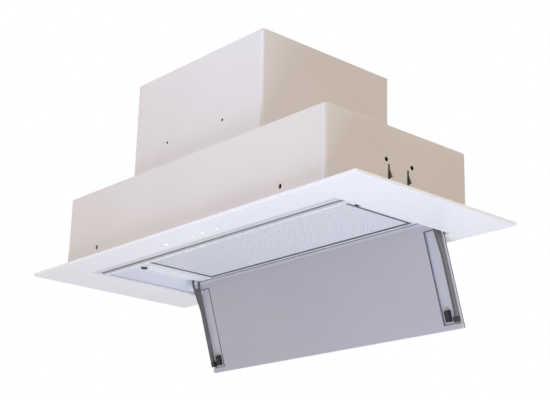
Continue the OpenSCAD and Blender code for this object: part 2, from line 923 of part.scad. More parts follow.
// The scroll's outline from its tongue round to the mouth under the top plate
function scroll_outline(t, first) = concat(
  [for (a = [first : 9 : 360]) scroll_point(a, t)],
  [
    [blower_y + scroll_out + t, blower_z + 40],
    [duct_y + mouth_r + t, mouth_z + scroll_t],
    [duct_y - mouth_r - t, mouth_z + scroll_t]
  ]
);

module at_ears() {
  for (a = ear_angles)
    translate([0, scroll_point(a, ear_out)[0], scroll_point(a, ear_out)[1]]) children();
}

// One half of the scroll, from the middle to the side wall with its inlet
module scroll_half() {
  difference() {
    union() {
      along_x(0, scroll_x) polygon(scroll_outline(scroll_t, scroll_start + 9));
      block(0, scroll_x + mouth_edge, duct_y - collar_screw_r - 7, duct_y + collar_screw_r + 7,
            mouth_z, plate_z);
      at_ears() bar_x(0, ear_l, 0, 0, ear_r);
    }
    along_x(-1, scroll_x - scroll_t) polygon(scroll_outline(0, scroll_start));
    along_x(-1, scroll_x - scroll_t)
      polygon([[duct_y - mouth_r, mouth_z - 1], [duct_y + mouth_r, mouth_z - 1],
               [duct_y + mouth_r, plate_z + 1], [duct_y - mouth_r, plate_z + 1]]);
    bar_x(scroll_x - 5, scroll_x + 5, blower_y, blower_z, inlet_r);
    at_ears() bar_x(-1, ear_l + 1, 0, 0, screw_r + run_gap);
    mirror([1, 0, 0]) at_collar_screws() bar_z(mouth_z - 1, plate_z + 1, 0, 0, screw_r + run_gap);
    at_motor_screws() bar_x(scroll_x - 5, scroll_x + 5, 0, 0, screw_r + run_gap);
  }
}

module left_scroll_half() {
  color(zinc) mirror([1, 0, 0]) scroll_half();
}

module right_scroll_half() {
  color(zinc) scroll_half();
}

module scroll_screws() {
  color(steel)
  at_ears() {
    bar_x(-ear_l, ear_l, 0, 0, screw_r);
    bar_x(ear_l, ear_l + screw_r, 0, 0, screw_r * 1.9);
  }
}

// A double-inlet drum: middle disc with hub, end rims and straight blades
module impeller() {
  half = impeller_l / 2;
  color(steel)
  difference() {
    translate([0, blower_y, blower_z]) union() {
      bar_x(-rim_t, 0, 0, 0, impeller_r);
      bar_x(hub_x, hub_x + hub_l, 0, 0, hub_r);
      for (x = [-half, half - rim_t]) difference() {
        bar_x(x, x + rim_t, 0, 0, impeller_r);
        bar_x(x - 1, x + rim_t + 1, 0, 0, impeller_r - blade_d);
      }
      for (i = [0 : blades - 1])
        rotate([i * 360 / blades, 0, 0])
          translate([0, impeller_r - blade_d / 2 - 0.6, 0]) rotate([25, 0, 0])
            slab(half - rim_t / 2, -blade_d / 2 + 0.6, blade_d / 2 - 0.6,
                 -blade_t / 2, blade_t / 2);
    }
    bar_x(-half, half, blower_y, blower_z, shaft_r + run_gap / 2);
  }
}

module motor_shaft() {
  color(steel) bar_x(hub_x - 4, scroll_x + bracket_t + 6, blower_y, blower_z, shaft_r);
}

module motor() {
  color(zinc)
  difference() {
    union() {
      bar_x(motor_x + 6, scroll_x - free_gap, blower_y, blower_z, motor_r);
      bar_x(motor_x, motor_x + 6, blower_y, blower_z, motor_r * 0.4);
    }
    bar_x(motor_x - 1, scroll_x + 1, blower_y, blower_z, shaft_r + run_gap);
    at_grommets()
      bar_x(scroll_x - motor_screw_l - 1, scroll_x + 1, 0, 0, screw_r + run_gap);
  }
}

// Where the motor bracket is screwed to the scroll's side wall
module at_motor_screws() {
  for (a = [30 : 120 : 270])
    translate([0, blower_y + (inlet_r + 7) * cos(a), blower_z + (inlet_r + 7) * sin(a)])
      children();
}

// Where the motor hangs on its rubber grommets
module at_grommets() {
  for (a = [90 : 120 : 330])
    translate([0, blower_y + 20 * cos(a), blower_z + 20 * sin(a)]) children();
}

// A ring on the scroll's side with three arms to the plate that holds the motor
module motor_bracket() {
  x0 = scroll_x;
  x1 = scroll_x + bracket_t;
  color(zinc)
  difference() {
    union() {
      difference() {
        bar_x(x0, x1, blower_y, blower_z, inlet_r + 12);
        bar_x(x0 - 1, x1 + 1, blower_y, blower_z, inlet_r);
      }
      bar_x(x0, x1, blower_y, blower_z, bracket_hub_r);
      translate([0, blower_y, blower_z])
        for (a = [30 : 120 : 270]) rotate([a, 0, 0]) block(x0, x1, 0, inlet_r + 3, -7, 7);
    }
    bar_x(x0 - 1, x1 + 1, blower_y, blower_z, shaft_r + 2);
    at_grommets() bar_x(x0 - 1, x1 + 1, 0, 0, screw_r + 2);
    at_motor_screws() bar_x(x0 - 1, x1 + 1, 0, 0, screw_r + run_gap);
  }
}

module motor_grommets() {
  color(black)
  at_grommets()
  difference() {
    union() {
      bar_x(scroll_x - free_gap, scroll_x + bracket_t, 0, 0, screw_r + 2 - run_gap);
      bar_x(scroll_x + bracket_t, scroll_x + bracket_t + 2, 0, 0, screw_r + 3.5);
    }
    bar_x(scroll_x - 2, scroll_x + bracket_t + 3, 0, 0, screw_r + run_gap);
  }
}

module motor_screws() {
  x1 = scroll_x + bracket_t;
  color(steel) {
    at_grommets() {
      bar_x(scroll_x - motor_screw_l, x1 + 2, 0, 0, screw_r);
      bar_x(x1 + 2, x1 + 4, 0, 0, screw_r * 1.7);
    }
    at_motor_screws() {
      bar_x(scroll_x - scroll_t - 2, x1, 0, 0, screw_r);
      bar_x(x1, x1 + screw_r, 0, 0, screw_r * 1.7);
    }
  }
}

module at_collar_screws() {
  for (a = [0 : 90 : 270])
    translate([collar_screw_r * cos(a), duct_y + collar_screw_r * sin(a), 0]) children();
}

// The collar with its flange, the dampers' ledge and the bores for their pin
module duct_collar() {
  ledge_z = damper_axis_z - damper_t / 2 - ledge_t - run_gap;
  color(black)
  difference() {
    union() {
      bar_z(top_z, top_z + collar_h, 0, duct_y, collar_r);
      bar_z(top_z, top_z + collar_t, 0, duct_y, collar_r + collar_flange);
    }
    difference() {
      bar_z(top_z - 1, top_z + collar_h + 1, 0, duct_y, mouth_r);
      difference() {
        bar_z(ledge_z, ledge_z + ledge_t, 0, duct_y, collar_r);
        bar_z(ledge_z - 1, ledge_z + ledge_t + 1, 0, duct_y, damper_r - 3);
        slab(collar_r, duct_y - knuckle_r - 1, duct_y + knuckle_r + 1, ledge_z - 1, top_z + collar_h);
      }
    }
    bar_x(-collar_r - 1, collar_r + 1, duct_y, damper_axis_z, damper_pin_r + run_gap);
    at_collar_screws() bar_z(top_z - 1, top_z + collar_t + 1, 0, 0, screw_r + run_gap);
  }
}

module damper_pin() {
  color(steel) bar_x(-collar_r, collar_r, duct_y, damper_axis_z, damper_pin_r);
}

// Half a disc with its knuckles on the pin, drawn for the rear
module damper(knuckles) {
  difference() {
    union() {
      intersection() {
        bar_z(-damper_t / 2, damper_t / 2, 0, 0, damper_r);
        slab(damper_r, knuckle_r + 0.8, damper_r, -damper_t, damper_t);
      }
      for (x = knuckles) {
        bar_x(x - 7, x + 7, 0, 0, knuckle_r);
        block(x - 7, x + 7, 0, knuckle_r + 4, -damper_t / 2, damper_t / 2);
      }
    }
    bar_x(-damper_r, damper_r, 0, 0, damper_pin_r + run_gap);
  }
}

module rear_damper() {
  color(steel) translate([0, duct_y, damper_axis_z]) damper([-knuckle_far, knuckle_near]);
}

module front_damper() {
  color(steel) translate([0, duct_y, damper_axis_z]) mirror([0, 1, 0]) damper([-knuckle_near, knuckle_far]);
}

module collar_screws() {
  color(steel)
  at_collar_screws() screw_down(0, 0, top_z + collar_t, collar_t + sheet_t + scroll_t + 2);
}

module frame_screws() {
  color(steel)
  for (s = [-1, 1]) {
    bar_y(wall_in_y - frame_t - 3, lower_d / 2, s * frame_hole_x, frame_hole_z, screw_r);
    bar_y(lower_d / 2, lower_d / 2 + 1.5, s * frame_hole_x, frame_hole_z, screw_r * 1.9);
  }
}

module control_box() {
  color(white_paint)
  difference() {
    block(box_x - box_w, box_x, box_y - box_d / 2, box_y + box_d / 2, box_z, box_z + box_h);
    block(box_x - box_w - 1, box_x - box_t, box_y - box_d / 2 + box_t, box_y + box_d / 2 - box_t,
          box_z + box_t, box_z + box_h - box_t);
  }
}

module control_box_lid() {
  color(white_paint)
  block(box_x - box_w - box_t, box_x - box_w, box_y - box_d / 2, box_y + box_d / 2,
        box_z, box_z + box_h);
}

module power_board() {
  x1 = box_x - box_t;
  color(board_green) {
    block(x1 - board_gap - board_t, x1 - board_gap, box_y - box_d * 0.4, box_y + box_d * 0.15,
          box_z + box_h * 0.08, box_z + box_h * 0.92);
    for (y = [box_y - box_d * 0.37, box_y + box_d * 0.12], z = [0.12, 0.88])
      bar_x(x1 - board_gap, x1, y, box_z + box_h * z, 3);
    block(x1 - board_gap - board_t - box_w * 0.3, x1 - board_gap - board_t,
          box_y - box_d * 0.35, box_y - box_d * 0.15, box_z + box_h * 0.15, box_z + box_h * 0.4);
  }
}

module capacitor() {
  color(black)
  bar_x(box_x - box_t - 40, box_x - box_t, box_y + box_d * 0.32, box_z + box_h * 0.3, 16);
}

module terminal_block() {
  color(light_white)
  difference() {
    block(box_x - box_t - 16, box_x - box_t, box_y + box_d * 0.22, box_y + box_d * 0.44,
          box_z + box_h * 0.7, box_z + box_h * 0.86);
    for (i = [0 : 2])
      bar_x(box_x - box_t - 17, box_x - box_t - 8, box_y + box_d * (0.26 + 0.07 * i),
            box_z + box_h * 0.78, 2.2);
  }
}

module cable_gland() {
  color(black)
  difference() {
    union() {
      bar_z(plate_z - 8, top_z + gland_h - 6, gland_x, gland_y, gland_r);
      bar_z(top_z, top_z + 6, gland_x, gland_y, gland_r + 4);
      bar_z(top_z + gland_h - 8, top_z + gland_h, gland_x, gland_y, gland_r + 3);
      bar_z(plate_z - 5, plate_z, gland_x, gland_y, gland_r + 3);
    }
    bar_z(plate_z - 9, top_z + gland_h + 1, gland_x, gland_y, gland_bore);
  }
}

// A lead: round bars between chosen points, with a slightly thicker ball at each bend
module lead(points, r) {
  for (i = [0 : len(points) - 2]) {
    d = points[i + 1] - points[i];
    translate(points[i])
      rotate([0, acos(d[2] / norm(d)), atan2(d[1], d[0])]) cylinder(h = norm(d), r = r);
  }
  for (i = [1 : len(points) - 2]) translate(points[i]) sphere(r * 1.15);
}

module motor_lead() {
  x0 = scroll_x + bracket_t;
  x1 = x0 + 12;
  low = blower_z - bracket_hub_r * 0.8;
  high = box_z + 20;
  color(black)
  lead([[x0, blower_y, low], [x1, blower_y, low], [x1, box_y, low], [x1, box_y, high],
        [box_x - box_w - box_t, box_y, high]], 2.5);
}

module touch_lead() {
  lead_x = box_x - box_w / 2;
  lead_z = hinge_top + 30;
  start_x = board_w / 2 - 12;
  color(black)
  lead([[start_x, mark_y, board_t + cover_h], [start_x, mark_y, lead_z],
        [lead_x, mark_y, lead_z], [lead_x, box_y - box_d / 4, lead_z],
        [lead_x, box_y - box_d / 4, box_z]], 2);
}

flange_glass();
grip_rail();
grip_seal();
opening_seal();
liner_tray();
bottom_frame();
lower_housing();
upper_housing();
top_plate();
left_clip_plate();
right_clip_plate();
left_spring_clip();
right_spring_clip();
filter_frame();
filter_skin();
filter_core();
filter_latch();
left_light_lens();
right_light_lens();
left_light_module();
right_light_module();
flap_sensors();
left_hinge_bracket();
right_hinge_bracket();
hinge_pins();
hinge_screws();
flap_glass();
flap_inner_panel();
left_arm();
right_arm();
eye_bushes();
arm_caps();
flap_bumpers();
touch_marks();
touch_board();
touch_cover();
left_scroll_half();
right_scroll_half();
scroll_screws();
impeller();
motor_shaft();
motor();
motor_bracket();
motor_grommets();
motor_screws();
duct_collar();
damper_pin();
front_damper();
rear_damper();
collar_screws();
seam_screws();
frame_screws();
control_box();
control_box_lid();
power_board();
capacitor();
terminal_block();
cable_gland();
motor_lead();
touch_lead();
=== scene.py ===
import json
from math import cos, pi, radians, sin

import bmesh
import bpy
from bpy.props import FloatProperty, FloatVectorProperty, PointerProperty
from mathutils import Matrix, Vector

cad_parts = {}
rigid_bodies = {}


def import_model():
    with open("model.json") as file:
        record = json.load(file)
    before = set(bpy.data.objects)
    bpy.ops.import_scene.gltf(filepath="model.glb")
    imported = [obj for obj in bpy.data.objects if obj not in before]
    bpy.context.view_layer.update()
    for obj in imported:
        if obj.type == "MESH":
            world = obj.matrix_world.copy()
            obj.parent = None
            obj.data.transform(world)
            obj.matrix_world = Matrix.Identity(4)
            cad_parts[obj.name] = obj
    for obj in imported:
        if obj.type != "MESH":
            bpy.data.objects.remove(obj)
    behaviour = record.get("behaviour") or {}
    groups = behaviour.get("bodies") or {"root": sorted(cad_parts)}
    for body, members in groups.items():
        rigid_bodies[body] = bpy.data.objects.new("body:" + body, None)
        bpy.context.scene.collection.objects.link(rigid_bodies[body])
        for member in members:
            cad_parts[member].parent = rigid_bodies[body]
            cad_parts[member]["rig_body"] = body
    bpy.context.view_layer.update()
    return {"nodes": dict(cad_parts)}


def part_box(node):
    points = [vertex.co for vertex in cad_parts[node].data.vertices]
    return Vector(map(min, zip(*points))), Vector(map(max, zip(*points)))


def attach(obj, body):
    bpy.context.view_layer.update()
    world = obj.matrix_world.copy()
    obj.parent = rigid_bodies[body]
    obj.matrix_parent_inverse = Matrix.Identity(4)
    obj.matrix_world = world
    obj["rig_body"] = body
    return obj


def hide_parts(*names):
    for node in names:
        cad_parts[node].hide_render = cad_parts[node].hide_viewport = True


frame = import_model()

bl_info = {
    "name": "Built-in Range Hood",
    "version": (1, 0, 0),
    "blender": (4, 5, 0),
    "location": "View3D > Sidebar > Range Hood",
    "description": "Dresses a built-in range hood: painted housings, glass, filter, flap and inner parts",
    "category": "Object",
}

# The flap hangs open by this angle. FLAP_OUT points away from its inner face, and FLAP_UP points
# from its free edge to the hinge.
OPEN_ANGLE = radians(107.8)
HINGE = Vector((0, 0.125, 0.009))
FLAP_OUT = Vector((0, -sin(OPEN_ANGLE), cos(OPEN_ANGLE)))
FLAP_UP = Vector((0, cos(OPEN_ANGLE), sin(OPEN_ANGLE)))

# Points closer than this are one point: in the shapes made here, and in the CAD's triangles.
MERGE, WELD = 1e-6, 2e-6
# Two normals with a product over this are one direction.
SAME_WAY = 0.9999

# The camera's place and direction, measured from the hood's straight edges in the picture
CAMERA_PLACE = (1.6413, -1.3915, -0.6003)
CAMERA_AZIMUTH, CAMERA_ELEVATION, CAMERA_ROLL = radians(48.715), radians(-17.963), radians(-1.46)
CAMERA_LENS, CAMERA_SENSOR = 80.04, 36.0

# name: place, target, size, colour and power of a lamp
LAMPS = {
    "key": ((1.0, -0.8, -1.7), (0, 0.02, 0.08), 1.3, (0.613, 0.767, 1.0), 30.0),
    "front": ((0.25, -0.85, 0.75), (0, -0.1, 0.25), 0.5, (0.428, 0.608, 1.0), 4.01),
}
ROOM_LIGHT = (0.686, 0.596, 0.516, 1.0)


def colour(name, description, default):
    """A colour that the user can change, in linear values."""
    return FloatVectorProperty(
        name=name, description=description, default=(*default, 1.0), size=4, min=0, max=1, subtype="COLOR"
    )


def length(name, description, default):
    """A length that the user can change, in metres."""
    return FloatProperty(name=name, description=description, default=default, min=0.0, unit="LENGTH")


class HoodSizes(bpy.types.PropertyGroup):
    """Sizes of the details that the looks add to the solids"""

    bend: length("Housing bend", "Outer radius of the housings' upright bends", 0.0065)
    fold: length("Top fold", "Outer radius of the folds along the housings' tops", 0.0018)
    sheet: length("Sheet thickness", "Thickness of the housings' sheet", 0.0012)
    arris: length("Glass arris", "Width of the polished arris on the glass edges", 0.0008)
    cell: length("Mesh cell", "Side of one cell of the filter's perforated skin", 0.0039)
    web: length("Mesh web", "Half the width of the webs between the holes", 0.0007)
    # the dark strip round the pockets is painted shadow
    trim: length("Pocket shadow strip", "Width of the painted shadow strip round the flap's pockets", 0.0018)
    recess: length("Screw recess", "Depth of the cross recess in the screw heads", 0.0009)


class HoodColours(bpy.types.PropertyGroup):
    """Colours of the hood's finishes"""

    paint: colour("Housing paint", "Warm white powder paint of both housings", (0.80, 0.755, 0.715))
    glass: colour("Flange glass", "White paint behind the flange's glass", (0.83, 0.835, 0.87))
    glass_edge: colour("Glass edge", "Clear edge of the flange's glass", (0.96, 0.97, 1.0))
    flap_edge: colour("Flap edge", "Dark polished edge of the flap's glass", (0.10, 0.12, 0.12))
    trim: colour("White trim", "Grip rail and liner tray", (0.78, 0.785, 0.82))
    panel: colour("Flap panel", "Satin inner panel of the flap", (0.468, 0.452, 0.507))
    pocket: colour("Pocket floor", "Floor of the flap's arm pockets", (0.52, 0.515, 0.57))
    mesh: colour("Filter mesh", "Bright aluminium of the filter's skin", (0.79, 0.785, 0.816))
    # the arms' dark steel is partly painted shade; their side faces take a lighter copy as painted light
    arm: colour("Arm steel", "Dark steel of the flap's arms", (0.105, 0.098, 0.096))
    spring: colour("Spring steel", "Side clips", (0.17, 0.155, 0.145))
    black: colour("Black parts", "Seals, caps, bumpers and the duct collar", (0.022, 0.022, 0.024))
    zinc: colour("Zinc sheet", "Galvanised inner sheet parts", (0.60, 0.61, 0.62))


# Finishes: each is one node material, patterned on object coordinates


class Finish:
    """Builds one material on a Principled shader, with short calls for its patterns"""

    def __init__(self, name, **sockets):
        self.material = bpy.data.materials.new(name)
        self.material.use_nodes = True
        self.tree = self.material.node_tree
        self.shader = self.tree.nodes["Principled BSDF"]
        self.place = self.tree.nodes.new("ShaderNodeTexCoord").outputs["Object"]
        for socket, value in sockets.items():
            self.shader.inputs[socket.replace("_", " ")].default_value = value

    def node(self, kind, output, inputs, **settings):
        """Adds a node with its inputs, values or links, and returns one of its outputs."""
        made = self.tree.nodes.new("ShaderNode" + kind)
        for setting, value in settings.items():
            setattr(made, setting, value)
        for key, value in inputs.items():
            if isinstance(value, bpy.types.NodeSocket):
                self.tree.links.new(value, made.inputs[key])
            else:
                made.inputs[key].default_value = value
        return made.outputs[output]

    def stretched(self, x, y, z, turn=(0, 0, 0)):
        return self.node("Mapping", 0, {"Vector": self.place, "Scale": (x, y, z), "Rotation": turn})

    def noise(self, scale, detail=2.0, rough=0.5, place=None):
        inputs = {"Vector": place or self.place, "Scale": scale, "Detail": detail, "Roughness": rough}
        return self.node("TexNoise", 0, inputs)

    def cells(self, scale, output="Distance", feature="F1", place=None):
        inputs = {"Vector": place or self.place, "Scale": scale}
        return self.node("TexVoronoi", output, inputs, feature=feature)

    def spread(self, value, low, high, start=0.3, end=0.7):
        """Maps a pattern's middle range to the range from low to high."""
        inputs = {"Value": value, "From Min": start, "From Max": end, "To Min": low, "To Max": high}
        return self.node("MapRange", 0, inputs)

    def math(self, operation, a, b):
        return self.node("Math", 0, {0: a, 1: b}, operation=operation)

    def between(self, share, first, second):
        return self.node("Mix", 2, {0: share, 6: first, 7: second}, data_type="RGBA")

    def tint(self, value, rgb, dark, light):
        """The base colour runs from one shade of a colour to another."""
        share = self.spread(value, 0.0, 1.0)
        self.put("Base Color", self.between(share, shade(rgb, dark), shade(rgb, light)))

    def relief(self, height, distance, strength=1.0):
        inputs = {"Height": height, "Distance": distance, "Strength": strength}
        self.put("Normal", self.node("Bump", 0, inputs))

    def put(self, socket, value):
        self.tree.links.new(value, self.shader.inputs[socket])
        return self


def shade(rgb, factor):
    """A colour made lighter or darker."""
    return (*(min(1.0, c * factor) for c in rgb[:3]), 1.0)


def powder_paint(name, rgb, roughness=0.42):
    """Powder paint on sheet: orange peel, faint clouding and a touch of uneven gloss."""
    f = Finish(name, Specular_IOR_Level=0.45)
    cloud = f.noise(5.0, 3.0)
    f.tint(cloud, rgb, 0.975, 1.02)
    f.put("Roughness", f.spread(f.noise(38.0, 3.0), roughness - 0.05, roughness + 0.07))
    peel = f.math("ADD", f.noise(420.0, 2.0), f.math("MULTIPLY", f.noise(1500.0, 1.0), 0.35))
    f.relief(peel, 0.00006, 0.55)
    return f.material


def painted_glass(name, rgb, roughness=0.3):
    """Glass with its paint on the far side: smooth, satin, with faint wiping marks."""
    f = Finish(name, IOR=1.45, Specular_IOR_Level=0.08)
    cloud = f.noise(3.2, 2.0)
    f.tint(cloud, rgb, 0.985, 1.015)
    wipes = f.noise(9.0, 4.0, 0.6, f.stretched(1.0, 3.5, 1.0, (0, 0, 0.5)))
    f.put("Roughness", f.spread(wipes, roughness, roughness + 0.05))
    f.relief(f.noise(900.0, 2.0), 0.000006, 0.4)
    return f.material


def glass_edge(name, rgb, roughness=0.16):
    """A ground and polished glass edge, streaked along its length."""
    f = Finish(name, IOR=1.5, Coat_Weight=0.5, Coat_Roughness=0.08)
    streaks = f.noise(60.0, 3.0, 0.6, f.stretched(1.0, 1.0, 14.0))
    f.tint(streaks, rgb, 0.93, 1.04)
    f.put("Roughness", f.spread(streaks, roughness - 0.05, roughness + 0.1))
    f.relief(streaks, 0.00005, 0.4)
    return f.material


def satin_panel(name, rgb, roughness=0.34):
    """Satin lacquer with a very fine grain along X."""
    f = Finish(name, Specular_IOR_Level=0.5, Metallic=0.0, Coat_Weight=0.2, Coat_Roughness=0.22)
    grain = f.noise(520.0, 3.0, 0.6, f.stretched(0.06, 1.0, 1.0))
    cloud = f.noise(4.5, 2.0)
    mixed = f.math("ADD", f.math("MULTIPLY", cloud, 0.7), f.math("MULTIPLY", grain, 0.3))
    f.tint(mixed, rgb, 0.965, 1.03)
    f.put("Roughness", f.spread(grain, roughness - 0.04, roughness + 0.06))
    f.relief(grain, 0.00003, 0.4)
    return f.material


def brushed_metal(name, rgb, roughness=0.3, along="x", metallic=1.0):
    """Metal brushed along one direction, with long fine scratches."""
    f = Finish(name, Metallic=metallic, Anisotropic=0.45)
    scale = {"x": (0.03, 1.0, 1.0), "y": (1.0, 0.03, 1.0), "z": (1.0, 1.0, 0.03)}[along]
    lines = f.noise(900.0, 4.0, 0.65, f.stretched(*scale))
    broad = f.noise(90.0, 2.0, 0.5, f.stretched(*scale))
    mixed = f.math("ADD", f.math("MULTIPLY", lines, 0.6), f.math("MULTIPLY", broad, 0.4))
    f.tint(mixed, rgb, 0.84, 1.12)
    f.put("Roughness", f.spread(mixed, roughness - 0.07, roughness + 0.1))
    f.relief(lines, 0.00004, 0.5)
    return f.material


def zinc_sheet(name, rgb, roughness=0.42, metallic=0.75):
    """Galvanised sheet with its spangle."""
    f = Finish(name, Metallic=metallic)
    flakes = f.cells(95.0, "Color")
    tone = f.node("SeparateColor", 0, {0: flakes})
    f.put("Base Color", f.between(tone, shade(rgb, 0.86), shade(rgb, 1.12)))
    f.put("Roughness", f.spread(tone, roughness - 0.1, roughness + 0.12, 0.0, 1.0))
    f.relief(f.noise(600.0, 2.0), 0.00003, 0.4)
    return f.material


def moulded(name, rgb, roughness=0.45, pitch=1400.0):
    """Moulded plastic with an eroded grain."""
    f = Finish(name, Specular_IOR_Level=0.45)
    grain = f.cells(pitch, "Distance", "SMOOTH_F1")
    cloud = f.noise(25.0, 2.0)
    f.tint(cloud, rgb, 0.9, 1.08)
    f.put("Roughness", f.spread(f.noise(150.0, 2.0), roughness - 0.06, roughness + 0.1))
    f.relief(grain, 0.00005, 0.5)
    return f.material


def rubber(name, rgb):
    """Matt rubber with a dusty, uneven surface."""
    f = Finish(name, Specular_IOR_Level=0.3)
    dust = f.noise(260.0, 4.0, 0.7)
    f.tint(dust, rgb, 1.0, 2.1)
    f.put("Roughness", f.spread(dust, 0.62, 0.86))
    f.relief(dust, 0.00008, 0.6)
    return f.material


def bright_steel(name, rgb=(0.70, 0.71, 0.73, 1.0), roughness=0.2, metallic=1.0, level=0.5):
    """Plated metal without a brushed direction."""
    f = Finish(name, Metallic=metallic, Specular_IOR_Level=level)
    rings = f.noise(1300.0, 3.0)
    f.tint(rings, rgb, 0.88, 1.1)
    f.put("Roughness", f.spread(f.noise(220.0, 2.0), roughness - 0.06, roughness + 0.12))
    f.relief(rings, 0.00002, 0.4)
    return f.material


def frosted_lens(name, glow, strength):
    """Frosted diffuser of a light strip, brighter over each lamp behind it."""
    f = Finish(name, Base_Color=(0.74, 0.75, 0.78, 1.0), Roughness=0.5, Emission_Strength=strength)
    rows = f.node("TexWave", 1, {"Vector": f.place, "Scale": 11.0, "Distortion": 0.0}, bands_direction="Y")
    f.put("Emission Color", f.between(f.spread(rows, 0.0, 1.0, 0.0, 1.0), shade(glow, 0.9), glow))
    f.relief(f.noise(2400.0, 1.0), 0.00003, 0.6)
    return f.material


def glowing_mark(name, glow, strength):
    """A lit touch mark under the glass, softly uneven."""
    f = Finish(name, Base_Color=(0.9, 0.92, 0.98, 1.0), Roughness=0.2, Emission_Strength=strength)
    haze = f.noise(700.0, 2.0)
    f.put("Emission Color", f.between(f.spread(haze, 0.0, 1.0), shade(glow, 0.86), glow))
    f.relief(haze, 0.00001, 0.3)
    return f.material


def board_lacquer(name):
    """Green solder mask with darker tracks under it."""
    f = Finish(name, Roughness=0.32, Coat_Weight=0.3)
    pads = {"Vector": f.place, "Scale": 160.0, "Mortar Size": 0.03}
    pads |= {"Color1": (0.03, 0.17, 0.08, 1.0), "Color2": (0.04, 0.21, 0.10, 1.0)}
    pads |= {"Mortar": (0.02, 0.11, 0.05, 1.0)}
    bricks = f.node("TexBrick", 0, pads)
    dots = f.spread(f.cells(420.0), 1.0, 0.0, 0.1, 0.16)
    f.put("Base Color", f.between(f.math("MULTIPLY", dots, 0.8), bricks, (0.62, 0.56, 0.34, 1.0)))
    f.relief(f.node("TexBrick", 1, pads), 0.00004, 0.5)
    return f.material


def core_painted_shade(name, rgb):
    """Layered expanded mesh of the filter's core, seen through the skin; its cells darken as painted shade of
    the layers' depth.
    """
    f = Finish(name, Metallic=0.6, Roughness=0.45)
    layers = f.cells(330.0)
    # the dark end of this mix is painted shade, deepest in each cell
    f.put("Base Color", f.between(f.spread(layers, 0.0, 1.0, 0.1, 0.6), shade(rgb, 0.35), rgb))
    f.relief(layers, 0.0008, 0.8)
    return f.material


# Shapes: bmesh helpers


def solid_copy(*nodes):
    """The merged copy of one or more CAD nodes, with flat faces in place of triangles."""
    bm = bmesh.new()
    for node in nodes:
        bm.from_mesh(frame["nodes"][node].data)
    bmesh.ops.remove_doubles(bm, verts=bm.verts, dist=WELD)
    bmesh.ops.dissolve_limit(bm, angle_limit=radians(0.5), verts=bm.verts, edges=bm.edges)
    mark_curved(bm)
    return bm


def mark_curved(bm):
    """Faces that meet a neighbour at a slight angle belong to a curved surface; the others stay flat."""
    for face in bm.faces:
        turns = [e.calc_face_angle(0.0) for e in face.edges if e.is_manifold]
        face.smooth = any(radians(1) < turn < radians(24) for turn in turns)


def sharp_edges(bm, pick=None, least=30):
    """The outward edges of a closed shape that are sharper than an angle."""
    outward = [e for e in bm.edges if e.is_manifold and e.is_convex]
    sharp = [e for e in outward if e.calc_face_angle(0.0) > radians(least)]
    return [e for e in sharp if pick is None or pick(e)]


def round_edges(bm, edges, radius, segments=2):
    """Rounds edges off and shades the new strips smooth."""
    if not edges:
        raise RuntimeError("there is no edge to round off")
    flat = []
    for face in bm.faces:
        if not face.smooth and not any(face.normal.dot(normal) > SAME_WAY for normal in flat):
            flat.append(face.normal.copy())
    made = bmesh.ops.bevel(
        bm,
        geom=edges,
        offset=radius,
        offset_type="OFFSET",
        segments=segments,
        profile=0.5,
        affect="EDGES",
        clamp_overlap=False,
        material=-1,
    )
    # the bevel also returns the wide faces beside it, and these stay flat
    bm.normal_update()
    for face in made["faces"]:
        face.smooth = not any(face.normal.dot(normal) > SAME_WAY for normal in flat)


def middle(edge):
    return (edge.verts[0].co + edge.verts[1].co) / 2


def corners(faces):
    """The vertices of some faces, each once and in a fixed order."""
    return list(dict.fromkeys(v for f in faces for v in f.verts))


def paint_faces(bm, index, test):
    for face in bm.faces:
        if test(face):
            face.material_index = index


def block(bm, low, high):
    """A box between two corners, added to a shape; returns its vertices."""
    low, high = Vector(low), Vector(high)
    verts = bmesh.ops.create_cube(bm, size=1.0)["verts"]
    bmesh.ops.scale(bm, vec=high - low, verts=verts)
    bmesh.ops.translate(bm, vec=(low + high) / 2, verts=verts)
    return verts


def mirrored(bm):
    """Adds the mirror image on the left of what stands on the right."""
    copy = bmesh.ops.duplicate(bm, geom=bm.verts[:] + bm.edges[:] + bm.faces[:])["geom"]
    verts = [v for v in copy if isinstance(v, bmesh.types.BMVert)]
    faces = [f for f in copy if isinstance(f, bmesh.types.BMFace)]
    bmesh.ops.scale(bm, vec=(-1, 1, 1), verts=verts)
    bmesh.ops.reverse_faces(bm, faces=faces)


AXES = {"x": Vector((1, 0, 0)), "y": Vector((0, 1, 0)), "z": Vector((0, 0, 1))}


def turned(bm, outline, centre, axis="z", flip=False, steps=32):
    """Turns an outline of (radius, height) pairs about an axis; heights start at the centre."""
    up = AXES[axis] * (-1 if flip else 1)
    side = AXES["y"] if axis == "x" else AXES["x"]
    centre = Vector(centre)
    before = set(bm.faces)
    line = [bm.verts.new(centre + side * r + up * h) for r, h in outline]
    edges = [bm.edges.new(pair) for pair in zip(line, line[1:])]
    bmesh.ops.spin(
        bm, geom=line + edges, cent=centre, axis=up, dvec=(0, 0, 0), angle=2 * pi, steps=steps, use_merge=True
    )
    faces = [f for f in bm.faces if f not in before]
    bmesh.ops.remove_doubles(bm, verts=corners(faces), dist=MERGE)
    faces = [f for f in bm.faces if f not in before]
    bmesh.ops.recalc_face_normals(bm, faces=faces)
    for face in faces:
        face.smooth = True
    return faces


def rounded_step(radius, height, rim, segments=4):
    """The outline of a disc's rounded top rim, from its side to its top."""
    turns = [pi / 2 * i / segments for i in range(segments + 1)]
    return [(radius - rim + rim * cos(a), height - rim + rim * sin(a)) for a in turns]


